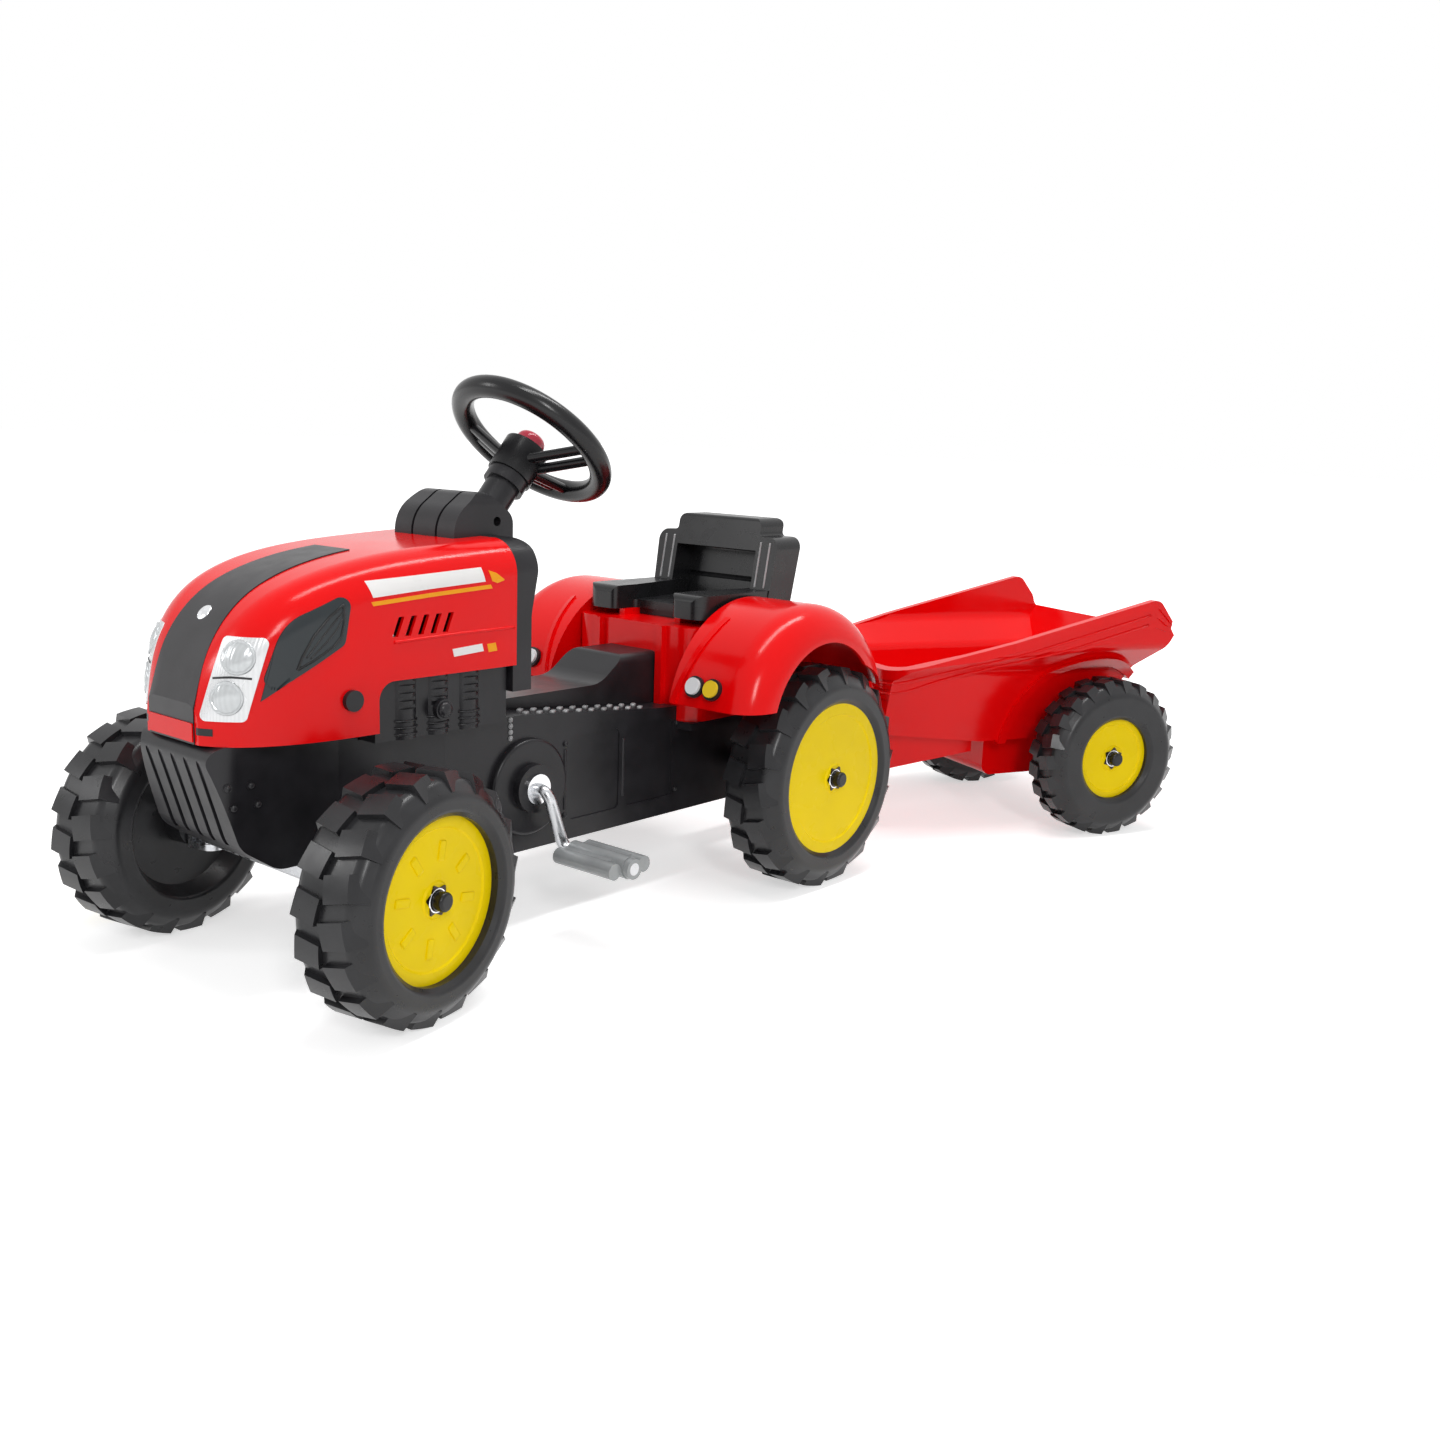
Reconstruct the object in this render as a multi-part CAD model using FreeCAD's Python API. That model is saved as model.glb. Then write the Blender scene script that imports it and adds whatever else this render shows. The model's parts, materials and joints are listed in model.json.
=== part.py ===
import FreeCAD, Part
import math
import os

# Ride-on pedal tractor with its hitched trailer. Lengths are millimetres, angles are degrees.
# While it is drawn, the origin is on the ground under the rear axle: +X ahead, +Y left, +Z up.
# At the end everything moves so that the origin is the bottom centre of the whole object.

# Fits shared by all pieces
running_clearance = 0.05
loose_clearance = 0.4
cut_overrun = 25.0
coincident = 1e-6

# Wheels and axles
wheelbase = 560.0
axle_radius = 6.0
rear_wheel_radius = 122.0
front_wheel_radius = 107.0
trailer_wheel_radius = 100.0
rear_tyre_width = 74.0
front_tyre_width = 78.0
trailer_tyre_width = 62.0
rear_half_track = 173.0
front_half_track = 173.0
trailer_half_track = 147.0
rear_disc_radius = 83.0
front_disc_radius = 71.0
trailer_disc_radius = 51.0
rear_disc_inset = 5.0
front_disc_inset = 12.0
trailer_disc_inset = 10.0
disc_thickness = 5.0
disc_relief = 1.5
disc_rim_share = 0.86
disc_boss_radius = 15.0
tyre_lip = 5.0
tyre_boss_radius = 20.0
tyre_shoulder = 11.0
tyre_shoulder_round = 12.0
tyre_side_share = 0.87
tyre_well_share = 0.60
tyre_inner_side_share = 0.70
tyre_web_share = 0.24
lug_height = 5.0
lug_root = 5.0
lug_pitch_share = 0.60
lug_slant = 12.0
lug_middle_gap = 3.0
lug_end_gap = 3.5
rear_lug_count = 18
front_lug_count = 18
trailer_lug_count = 22
wheel_end_gap = 0.3
axle_cap_radius = 8.5
axle_cap_length = 11.0
axle_cap_wall = 3.0
axle_cap_round = 3.0
axle_spacer_wall = 4.0

# Chassis moulding
chassis_wall = 4.0
chassis_half_width = 70.0
chassis_nose_half_width = 62.0
chassis_rear_x = -62.0
chassis_nose_x = 664.0
chassis_nose_bottom_x = 637.0
chassis_nose_bottom_z = 138.0
chassis_taper_front_x = 540.0
chassis_taper_rear_x = 430.0
chassis_round = 14.0
nose_round = 26.0
tail_z = 92.0
tail_top_z = 187.0
belly_z = 78.0
tail_slope_x = 8.0
belly_front_x = 415.0
belly_slope_run = 36.0
front_belly_z = 114.0
front_belly_x = 602.0
step_rear_x = 145.0
step_rear_z = 198.0
step_front_x = 337.0
deck_z = 215.0
belly_opening_margin = 18.0
belly_cover_thickness = 3.0
nose_groove_count = 5
nose_groove_pitch = 20.0
nose_groove_width = 6.0
nose_groove_depth = 4.0
nose_groove_top = 10.0
crank_boss_radius = 24.0
crank_boss_length = 15.0
crank_dome_radius = 48.0
crank_dome_proud = 7.0
crank_dome_round = 5.0
side_recess_count = 2
side_recess_rear_x = 118.0
side_recess_pitch = 82.0
side_recess_gap = 10.0
side_recess_bottom_z = 98.0
side_recess_top_z = 184.0
side_recess_depth = 1.5
side_recess_round = 6.0

# Console between the rider's feet, moulded on the chassis
console_front_z = 226.0
console_top_z = 253.0
console_top_x = 164.0
console_foot_x = 200.0
console_foot_round = 40.0
console_half_width = 40.0
console_round = 10.0

# Hood and what is set in it
hood_rear_x = 366.0
hood_length = 292.0
hood_half_width = 95.0
hood_bottom_z = 226.0
hood_height = 160.0
hood_corner = 32.0
hood_wall = 3.5
hood_section_shares = (
    (0.000, 1.000, 1.000, 1.00),
    (0.199, 1.000, 0.981, 1.00),
    (0.442, 1.000, 0.944, 1.00),
    (0.603, 0.990, 0.894, 1.00),
    (0.753, 0.937, 0.806, 1.00),
    (0.870, 0.820, 0.669, 0.95),
    (0.938, 0.685, 0.512, 0.90),
    (0.976, 0.550, 0.356, 0.85),
    (1.000, 0.420, 0.200, 0.70),
)
trim_proud = 1.0
engine_bay_front_x = 521.0
engine_bay_top_z = 270.0
engine_bay_round = 16.0
grille_length = 158.0
grille_rear_half_width = 26.0
grille_front_half_width = 36.0
headlamp_setback = 25.0
headlamp_y = 57.0
headlamp_z = 281.0
headlamp_half_width = 19.5
headlamp_half_height = 34.0
headlamp_lean = 10.0
headlamp_yaw = 45.0
headlamp_reach = 34.0
headlamp_round = 5.0
side_panel_rear_setback = 112.0
side_panel_top_z = 350.0
side_panel_tip_setback = 31.0
side_panel_tip_z = 264.0
side_panel_rear_z = 306.0
side_panel_brow_setback = 52.0
side_panel_brow_z = 326.0
side_panel_round = 8.0
side_panel_brow_round = 40.0
slot_count = 5
slot_first_x = 447.0
slot_pitch = 13.5
slot_width = 6.0
slot_bottom_z = 308.0
slot_height = 17.0
slot_lean = 7.0
plug_gap = 27.0
plug_z = 258.0
plug_radius = 9.0
plug_shank_radius = 6.0
plug_head = 3.0

# Engine block in the side cut-out
engine_gap = 3.0
engine_half_width = 84.0
engine_wall = 9.0
engine_rise = 7.0
engine_cylinder_count = 3
engine_cylinder_radius = 15.0
engine_cylinder_proud = 5.0
engine_cylinder_first_share = 0.30
engine_cylinder_pitch_share = 0.24
engine_fin_count = 4
engine_fin_depth = 3.0
engine_fin_share = 0.45

# Dash panel and steering column cover
dash_depth = 31.0
dash_half_width = 90.0
dash_bottom_z = 244.0
dash_waist = 8.0
dash_round = 12.0
dash_leg_half_width = 44.0
rod_passage_radius = 9.0
cowl_front_x = 398.0
cowl_rear_x = 326.0
cowl_top_z = 430.0
cowl_half_width = 44.0
cowl_base_z = 366.0
cowl_round = 16.0
cowl_front_round = 34.0
cowl_shoulder_drop = 26.0
cowl_groove_y = 16.0
cowl_groove_width = 3.0
cowl_groove_depth = 3.0
cowl_eye_x = 346.0
cowl_eye_z = 399.0
cowl_eye_radius = 4.5
cowl_eye_depth = 9.0

# Steering
steering_wheel_x = 263.0
steering_wheel_z = 474.0
steering_wheel_radius = 89.0
steering_rim_radius = 11.0
steering_hub_radius = 23.0
steering_hub_depth = 36.0
steering_hub_rise = -10.0
steering_spoke_radius = 5.0
steering_spoke_gap = 17.0
steering_rod_radius = 5.0
steering_rod_bend = 14.0
steering_rod_socket = 14.0
steering_arm = 40.0
finger_overreach = 9.0
finger_rise = 10.3
rest_steer = 11.0
steering_lock = 25.0
horn_radius = 15.0
horn_depth = 14.0
horn_travel = 4.0
sleeve_radius = 17.0
sleeve_collar_radius = 21.0
sleeve_collar = 12.0
sleeve_length = 78.0
lower_bush_radius = 10.0
lower_bush_length = 26.0

# Front axle, kingpins, knuckles and tie rod
kingpin_half_track = 112.0
kingpin_radius = 6.0
kingpin_head_radius = 10.0
kingpin_head = 3.0
beam_depth = 22.0
beam_height = 20.0
beam_edge_round = 4.0
beam_eye_radius = 11.0
yoke_gap = 0.3
yoke_thickness = 6.0
yoke_half_width = 12.0
yoke_upright_inner = 14.0
yoke_upright_thickness = 6.0
arm_half_width = 8.0
arm_pin_radius = 4.0
tie_rod_thickness = 6.0
tie_rod_half_width = 7.0
tie_rod_eye_radius = 9.0
open_pivot_clearance = 0.3
fork_thickness = 5.0
fork_half_width = 17.0
fork_side_gap = 2.6
fork_prong_above = 14.0
fork_slot_below = 9.5

# Crank, pedals and chain drive
crank_x = 329.0
crank_z = 143.0
crank_throw = 65.0
crank_rest_angle = 20.0
crank_arm_y = 100.0
crank_bend = 11.0
crank_bush_radius = 10.0
crank_bush_flange = 3.0
crank_bush_flange_radius = 15.0
pedal_length = 76.0
pedal_gap = 8.0
pedal_lobe_radius = 8.0
pedal_half_width = 20.0
pedal_web = 7.0
pedal_notch = 12.0
pedal_boss_radius = 11.0
pedal_cap_radius = 10.0
pedal_cap_length = 6.0
chain_pitch = 15.875
crank_teeth = 14
axle_teeth = 10
sprocket_thickness = 5.0
sprocket_y = 28.0
tooth_height = 5.5
tooth_root = 5.0
tooth_tip_share = 0.16
tooth_foot_share = 0.34
sprocket_collar_radius = 13.0
sprocket_collar = 9.0
chain_plate_half_height = 6.0
chain_plate_thickness = 1.5
chain_roller_half_size = 3.6

# Fender and seat body
fender_arch_x = 22.0
fender_arch_z = 182.0
fender_arch_radius = 130.0
fender_front_z = 208.0
fender_rear_z = 216.0
fender_inner_y = 92.0
fender_outer_y = 206.0
fender_edge_round = 38.0
fender_wall = 4.0
fender_wheel_gap = 8.0
fender_bottom_z = 180.0
seat_recess_gap = 4.0
ledge_height = 8.0
pedestal_front_x = 112.0
pedestal_rear_x = -74.0
pedestal_top_z = 282.0
pedestal_round = 24.0
strut_y = 47.0
strut_width = 9.0
strut_proud = 7.0
fender_rib_y = 103.0
fender_rib_width = 6.0
fender_rib_proud = 3.0
fender_rib_slant = 12.0
lamp_z = 228.0
lamp_y = 124.0
lamp_pitch = 24.0
lamp_radius = 9.0
lamp_proud = 7.0
bezel_radius = 11.5
bezel_proud = 4.0

# Seat
seat_rail_height = 7.0
seat_rail_width = 8.0
seat_rail_half_gap = 38.0
seat_rail_front_x = 84.0
seat_rail_rear_x = -52.0
seat_pan_front_x = 96.0
seat_pan_rear_x = -58.0
seat_pan_thickness = 9.0
seat_half_width = 87.0
seat_back_top_z = 394.0
seat_back_lean = 18.0
seat_back_depth = 42.0
seat_back_thickness = 13.0
seat_shoulder_z = 374.0
seat_shoulder_half_width = 91.0
seat_head_half_width = 62.0
seat_panel_half_width = 60.0
seat_panel_top_z = 358.0
seat_lumbar_z = 322.0
seat_lumbar_groove = 3.0
seat_block_width = 45.0
seat_block_height = 17.0
seat_block_round = 8.0
seat_front_notch_depth = 34.0
seat_round = 16.0
seat_edge_round = 5.0
seat_runner_side_gap = 0.3
seat_travel = 25.0

# Hitch
hitch_x = -130.0
hitch_z = 80.0
hitch_pin_radius = 6.0
hitch_pin_head_radius = 11.0
hitch_pin_head = 5.0
hitch_tongue_thickness = 6.0
hitch_tongue_half_width = 22.0
hitch_tongue_root = 60.0
hitch_clip_radius = 10.0
hitch_clip_thickness = 3.0
rest_hitch = -25.0

# Trailer, measured from its axle, with +X towards the hitch
drawbar_reach = 415.0
drawbar_tip_half_height = 10.0
drawbar_tip_half_width = 19.0
drawbar_neck_x = 300.0
drawbar_neck_half_width = 72.0
drawbar_neck_top_z = 196.0
drawbar_neck_bottom_z = 98.0
drawbar_round = 16.0
bed_front_x = 298.0
bed_rear_x = -102.0
bed_front_rim_z = 214.0
bed_rear_rim_z = 300.0
bed_rear_floor_z = 252.0
bed_floor_z = 114.0
bed_floor_front_x = 150.0
bed_floor_rear_x = -10.0
bed_front_bottom_z = 132.0
bed_wall = 4.0
bed_floor_half_width = 84.0
bed_side_half_width = 106.0
bed_side_z = 206.0
bed_rim_half_width = 146.0
bed_front_half_width = 126.0
bed_rim_z = 238.0
bed_corner = 46.0
bed_floor_round = 22.0
bed_rim_round = 16.0
bed_rear_run = 34.0
bed_lip_band = 12.0
bed_lip_proud = 6.0
bed_rim_band = 24.0
bed_rim_proud = 4.0
bed_skirt_band = 37.0
bed_skirt_proud = 2.0
bed_flare_gap = 12.0
bed_flare_width = 11.0
bed_flare_proud = 4.0
bed_hump_x = 190.0
bed_hump_radius = 30.0
bed_hump_half_length = 31.0
carrier_front_x = 124.0
carrier_rear_x = -38.0
carrier_bottom_z = 62.0
carrier_half_width = 62.0
carrier_wall = 6.0
carrier_round = 14.0


def at_y(a, b, c):
    """A profile in the X-Z plane, set at Y = c."""
    return FreeCAD.Vector(a, c, b)


def at_x(a, b, c):
    """A profile in the Y-Z plane, set at X = c."""
    return FreeCAD.Vector(c, a, b)


def at_z(a, b, c):
    """A profile in the X-Y plane, set at Z = c."""
    return FreeCAD.Vector(a, b, c)


def corner(before, here, after, radius):
    """The start, middle and end of the round at one corner of an outline, in its own plane."""
    ahead = (after[0] - here[0], after[1] - here[1])
    behind = (before[0] - here[0], before[1] - here[1])
    ahead_length = math.hypot(*ahead)
    behind_length = math.hypot(*behind)
    ahead = (ahead[0] / ahead_length, ahead[1] / ahead_length)
    behind = (behind[0] / behind_length, behind[1] / behind_length)
    half = 0.5 * math.acos(max(-1.0, min(1.0, ahead[0] * behind[0] + ahead[1] * behind[1])))
    room_share = 0.48
    run = min(radius / math.tan(half), room_share * min(ahead_length, behind_length))
    radius = run * math.tan(half)
    middle = (ahead[0] + behind[0], ahead[1] + behind[1])
    middle_length = math.hypot(*middle)
    inward = (radius / math.sin(half) - radius) / middle_length
    start = (here[0] + behind[0] * run, here[1] + behind[1] * run)
    bend = (here[0] + middle[0] * inward, here[1] + middle[1] * inward)
    end = (here[0] + ahead[0] * run, here[1] + ahead[1] * run)
    return start, bend, end


def outline(points, place, level):
    """A closed wire through (a, b) or (a, b, radius) corners; the rounds are true arcs."""
    spans = []
    count = len(points)
    for i in range(count):
        here = points[i]
        radius = here[2] if len(here) > 2 else 0
        if radius > 0:
            spans.append(corner(points[i - 1], here, points[(i + 1) % count], radius))
        else:
            spans.append((here,))
    edges = []
    for i in range(count):
        span = spans[i]
        if len(span) == 3:
            edges.append(Part.Arc(*[place(p[0], p[1], level) for p in span]).toShape())
        first = place(span[-1][0], span[-1][1], level)
        following = spans[(i + 1) % count][0]
        second = place(following[0], following[1], level)
        if first.distanceToPoint(second) > coincident:
            edges.append(Part.LineSegment(first, second).toShape())
    return Part.Wire(edges)


def prism(points, place, low, high):
    """An outline filled and drawn out from one level to another."""
    face = Part.Face(outline(points, place, low))
    return face.extrude(place(0, 0, high - low))


def cylinder(radius, start, end):
    """A round bar between two points."""
    run = end - start
    return Part.makeCylinder(radius, run.Length, start, run)


def tube(outer, inner, start, end):
    """A round tube between two points."""
    return cylinder(outer, start, end).cut(cylinder(inner, start, end))


def turned(points, axis):
    """A profile of (along, radius) points turned about an axis through the origin: Y or Z."""
    if axis == "Y":
        wire = outline([(p[1], p[0]) + tuple(p[2:]) for p in points], at_z, 0)
        return Part.Face(wire).revolve(FreeCAD.Vector(), FreeCAD.Vector(0, 1, 0), 360)
    wire = outline([(p[1], p[0]) + tuple(p[2:]) for p in points], at_y, 0)
    return Part.Face(wire).revolve(FreeCAD.Vector(), FreeCAD.Vector(0, 0, 1), 360)


def moved(shape, x, y, z):
    """A copy of a shape, moved."""
    copy = shape.copy()
    copy.translate(FreeCAD.Vector(x, y, z))
    return copy


def rotated(shape, centre, axis, angle):
    """A copy of a shape, turned about a line."""
    copy = shape.copy()
    copy.rotate(centre, axis, angle)
    return copy


def mirrored(shape):
    """The right-hand twin of a left-hand shape."""
    return shape.mirror(FreeCAD.Vector(), FreeCAD.Vector(0, 1, 0))


def both(shape):
    """A left-hand shape with its right-hand twin, as separate solids."""
    return Part.makeCompound([shape, mirrored(shape)])


def fused(shapes):
    """Shapes that are moulded or welded as one solid."""
    return shapes[0].multiFuse(shapes[1:]).removeSplitter()


def bent_bar(points, radius, bend):
    """A round bar along a bent path, with one bend radius."""
    count = len(points)
    edges = []
    start = points[0]
    for i in range(1, count - 1):
        back = (points[i - 1] - points[i]).normalize()
        ahead = (points[i + 1] - points[i]).normalize()
        half = 0.5 * back.getAngle(ahead)
        run = bend / math.tan(half)
        middle = (back + ahead).normalize()
        first = points[i] + back * run
        bend_point = points[i] + middle * (bend / math.sin(half) - bend)
        last = points[i] + ahead * run
        edges.append(Part.LineSegment(start, first).toShape())
        edges.append(Part.Arc(first, bend_point, last).toShape())
        start = last
    edges.append(Part.LineSegment(start, points[-1]).toShape())
    direction = points[1] - points[0]
    section = Part.Wire(Part.Circle(points[0], direction, radius).toShape())
    return Part.Wire(edges).makePipeShell([section], True, False)


def tyre(radius, width, disc_radius, disc_inset, bore, lug_count):
    """A tractor tyre about the Y axis, outer side towards +Y, with two rows of slanted lugs."""
    body = radius - lug_height
    outer = width / 2
    seat = outer - disc_inset - disc_thickness
    web = tyre_web_share * width - outer
    side = tyre_side_share * body
    carcass = turned([
        (-outer, bore),
        (-outer, tyre_boss_radius),
        (web, tyre_boss_radius),
        (web, tyre_well_share * body),
        (-outer, tyre_inner_side_share * body, tyre_lip),
        (-outer, side, tyre_shoulder_round),
        (tyre_shoulder - outer, body, tyre_shoulder_round),
        (outer - tyre_shoulder, body, tyre_shoulder_round),
        (outer, side, tyre_shoulder_round),
        (outer, disc_radius + tyre_lip, tyre_lip),
        (outer - tyre_lip, disc_radius),
        (seat, disc_radius),
        (seat, bore),
    ], "Y")
    start = lug_middle_gap / 2
    lug_width = lug_pitch_share * 2 * math.pi * radius / lug_count
    lug = prism([
        (body - lug_root, start),
        (radius + lug_root, start),
        (radius + lug_root, outer - tyre_shoulder - lug_root),
        (side + lug_height / 2, outer - lug_end_gap),
        (side - lug_root, outer - tyre_shoulder),
    ], at_z, -lug_width / 2, lug_width / 2)
    pivot = FreeCAD.Vector(0, outer - tyre_shoulder, 0)
    lug = rotated(lug, pivot, FreeCAD.Vector(1, 0, 0), lug_slant)
    lug = lug.common(cylinder(radius, FreeCAD.Vector(0, -width, 0), FreeCAD.Vector(0, width, 0)))
    twin = mirrored(lug)
    step = 360 / lug_count
    lugs = []
    for i in range(lug_count):
        lugs.append(rotated(lug, FreeCAD.Vector(), FreeCAD.Vector(0, 1, 0), i * step))
        lugs.append(rotated(twin, FreeCAD.Vector(), FreeCAD.Vector(0, 1, 0), (i + 0.5) * step))
    return carcass.multiFuse(lugs)


def hub_disc(width, disc_radius, disc_inset, bore):
    """The coloured disc that snaps into the tyre, with a raised rim and boss."""
    face = width / 2 - disc_inset
    rim = disc_rim_share * disc_radius
    return turned([
        (face - disc_thickness, bore),
        (face - disc_thickness, disc_radius),
        (face, disc_radius),
        (face, rim),
        (face - disc_relief, rim - disc_relief),
        (face - disc_relief, disc_boss_radius + disc_relief),
        (face, disc_boss_radius),
        (face, bore),
    ], "Y")


def cap_seat(half_track, width, disc_inset):
    """Where the cap sits on an axle, measured from the middle of the vehicle."""
    return half_track + width / 2 - disc_inset + wheel_end_gap


def axle_tip(half_track, width, disc_inset):
    """Where the axle ends inside its cap."""
    seat = cap_seat(half_track, width, disc_inset)
    return seat + axle_cap_length - axle_cap_wall


def axle_cap(seat):
    """The domed cap on the end of an axle."""
    end = seat + axle_cap_length
    return turned([
        (seat, axle_radius),
        (seat, axle_cap_radius),
        (end, axle_cap_radius, axle_cap_round),
        (end, 0),
        (end - axle_cap_wall, 0),
        (end - axle_cap_wall, axle_radius),
    ], "Y")


# Rear axle: the left wheel is keyed to the axle, the right wheel runs free on it.
rear_seat = cap_seat(rear_half_track, rear_tyre_width, rear_disc_inset)
rear_tip = axle_tip(rear_half_track, rear_tyre_width, rear_disc_inset)
rear_sizes = (rear_wheel_radius, rear_tyre_width, rear_disc_radius, rear_disc_inset)
free_bore = axle_radius + running_clearance
rear_tyre = tyre(*rear_sizes, axle_radius, rear_lug_count)
rear_free_tyre = rear_tyre.cut(
    cylinder(free_bore, FreeCAD.Vector(0, -rear_tyre_width, 0), FreeCAD.Vector(0, rear_tyre_width, 0)))
rear_disc = hub_disc(*rear_sizes[1:], axle_radius)
rear_free_disc = hub_disc(*rear_sizes[1:], free_bore)
rear_tyre_left = moved(rear_tyre, 0, rear_half_track, rear_wheel_radius)
rear_disc_left = moved(rear_disc, 0, rear_half_track, rear_wheel_radius)
rear_tyre_right = mirrored(moved(rear_free_tyre, 0, rear_half_track, rear_wheel_radius))
rear_disc_right = mirrored(moved(rear_free_disc, 0, rear_half_track, rear_wheel_radius))
rear_axle_rod = cylinder(
    axle_radius,
    FreeCAD.Vector(0, -rear_tip, rear_wheel_radius), FreeCAD.Vector(0, rear_tip, rear_wheel_radius))
rear_axle_caps = both(moved(axle_cap(rear_seat), 0, 0, rear_wheel_radius))
rear_wheel_inner = rear_half_track - rear_tyre_width / 2
bush_face = chassis_half_width + crank_bush_flange
rear_spacers = both(tube(
    axle_radius + axle_spacer_wall, axle_radius,
    FreeCAD.Vector(0, bush_face + wheel_end_gap, rear_wheel_radius),
    FreeCAD.Vector(0, rear_wheel_inner - wheel_end_gap, rear_wheel_radius)))


def chassis_form(inset):
    """The outer form of the chassis, or the same form drawn in by the wall."""
    half = chassis_half_width - inset
    nose_half = chassis_nose_half_width - inset
    nose_x = chassis_nose_x - inset
    side = Part.Face(outline([
        (chassis_rear_x, tail_z, chassis_round),
        (chassis_rear_x, tail_top_z, chassis_round),
        (step_rear_x, step_rear_z),
        (step_front_x, deck_z),
        (engine_bay_front_x, deck_z),
        (engine_bay_front_x, hood_bottom_z),
        (chassis_nose_x, hood_bottom_z, chassis_round),
        (chassis_nose_bottom_x, chassis_nose_bottom_z, nose_round),
        (front_belly_x, front_belly_z, nose_round),
        (belly_front_x + belly_slope_run, front_belly_z, chassis_round),
        (belly_front_x, belly_z, chassis_round),
        (tail_slope_x, belly_z, chassis_round),
    ], at_y, -half))
    if inset > 0:
        side = side.makeOffset2D(-inset)
    plan = prism([
        (chassis_rear_x - cut_overrun, -half),
        (chassis_taper_rear_x, -half),
        (chassis_taper_front_x, -nose_half),
        (nose_x, -nose_half, nose_round),
        (nose_x, nose_half, nose_round),
        (chassis_taper_front_x, nose_half),
        (chassis_taper_rear_x, half),
        (chassis_rear_x - cut_overrun, half),
    ], at_z, 0, hood_bottom_z + cut_overrun)
    return side.extrude(FreeCAD.Vector(0, 2 * half, 0)).common(plan)


# Steering column: from the steering wheel's middle down to the fork on the tie rod, which sets its slope
beam_top = front_belly_z
beam_bottom = front_belly_z - beam_height
yoke_top = beam_top + yoke_gap
yoke_bottom = beam_bottom - yoke_gap
arm_x = wheelbase - steering_arm
tie_rod_bottom = yoke_bottom + yoke_gap
tie_rod_top = tie_rod_bottom + tie_rod_thickness
finger_z = tie_rod_top + finger_rise
finger_ahead = arm_x - steering_wheel_x
finger_below = steering_wheel_z - finger_z
column_length = math.sqrt(finger_ahead ** 2 + finger_below ** 2 - steering_arm ** 2)
steering_tilt = math.degrees(math.atan2(finger_ahead, finger_below) + math.atan2(steering_arm, column_length))
tilt_cos = math.cos(math.radians(steering_tilt))
tilt_sin = math.sin(math.radians(steering_tilt))


def column(shape, turn):
    """Set a shape drawn about Z, with the steering wheel at the origin, on the sloping column."""
    copy = rotated(shape, FreeCAD.Vector(), FreeCAD.Vector(0, 0, 1), turn)
    copy.rotate(FreeCAD.Vector(), FreeCAD.Vector(0, 1, 0), -steering_tilt)
    copy.translate(FreeCAD.Vector(steering_wheel_x, 0, steering_wheel_z))
    return copy


def column_cylinder(radius, top, bottom):
    """A round bar on the column, from one depth below the steering wheel to another."""
    return column(cylinder(radius, FreeCAD.Vector(0, 0, -top), FreeCAD.Vector(0, 0, -bottom)), 0)


deck_depth = (steering_wheel_z - deck_z) / tilt_cos
lower_bush_top = deck_depth - lower_bush_length / 2
lower_bush_bottom = deck_depth + lower_bush_length / 2
rod_passage = column_cylinder(rod_passage_radius, 0, column_length)

# Chassis: a hollow moulding, closed below by a cover, with the crank bosses and the fender ledges
chassis_outer = chassis_form(0)
chassis_shell = chassis_outer.cut(chassis_form(chassis_wall))
opening_half = chassis_half_width - belly_opening_margin
belly_opening_rear = tail_slope_x + belly_opening_margin
belly_opening_front = belly_front_x - belly_opening_margin
belly_opening = Part.makeBox(
    belly_opening_front - belly_opening_rear, 2 * opening_half, chassis_wall + cut_overrun,
    FreeCAD.Vector(belly_opening_rear, -opening_half, belly_z - cut_overrun + belly_cover_thickness))
belly_cover = Part.makeBox(
    belly_opening_front - belly_opening_rear, 2 * opening_half, belly_cover_thickness,
    FreeCAD.Vector(belly_opening_rear, -opening_half, belly_z))
front_opening_rear = belly_front_x + belly_slope_run + belly_opening_margin
front_opening_front = front_belly_x - belly_opening_margin
front_opening = Part.makeBox(
    front_opening_front - front_opening_rear, 2 * opening_half, chassis_wall + 2 * cut_overrun,
    FreeCAD.Vector(front_opening_rear, -opening_half, front_belly_z - cut_overrun))
pedestal_half_width = fender_inner_y
ledge = Part.makeBox(
    pedestal_front_x - chassis_rear_x - chassis_round, pedestal_half_width - chassis_half_width, ledge_height,
    FreeCAD.Vector(chassis_rear_x + chassis_round, chassis_half_width, fender_bottom_z - ledge_height))
crank_boss_end = chassis_half_width + crank_boss_length
crank_boss = tube(
    crank_boss_radius, crank_bush_radius,
    FreeCAD.Vector(crank_x, chassis_half_width, crank_z), FreeCAD.Vector(crank_x, crank_boss_end, crank_z))
crank_dome = moved(turned([
    (chassis_half_width, crank_bush_radius),
    (chassis_half_width, crank_dome_radius),
    (chassis_half_width + crank_dome_proud, crank_dome_radius, crank_dome_round),
    (chassis_half_width + crank_dome_proud, crank_bush_radius),
], "Y"), crank_x, 0, crank_z)
side_recesses = []
for i in range(side_recess_count):
    low = side_recess_rear_x + i * side_recess_pitch
    high = low + side_recess_pitch - side_recess_gap
    recess = prism([
        (low, side_recess_bottom_z, side_recess_round),
        (high, side_recess_bottom_z, side_recess_round),
        (high, side_recess_top_z, side_recess_round),
        (low, side_recess_top_z, side_recess_round),
    ], at_y, chassis_half_width - side_recess_depth, chassis_half_width + side_recess_depth)
    side_recesses += [recess, mirrored(recess)]
dash_rear_x = hood_rear_x - dash_depth
dash_waist_x = dash_rear_x + dash_waist
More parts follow.
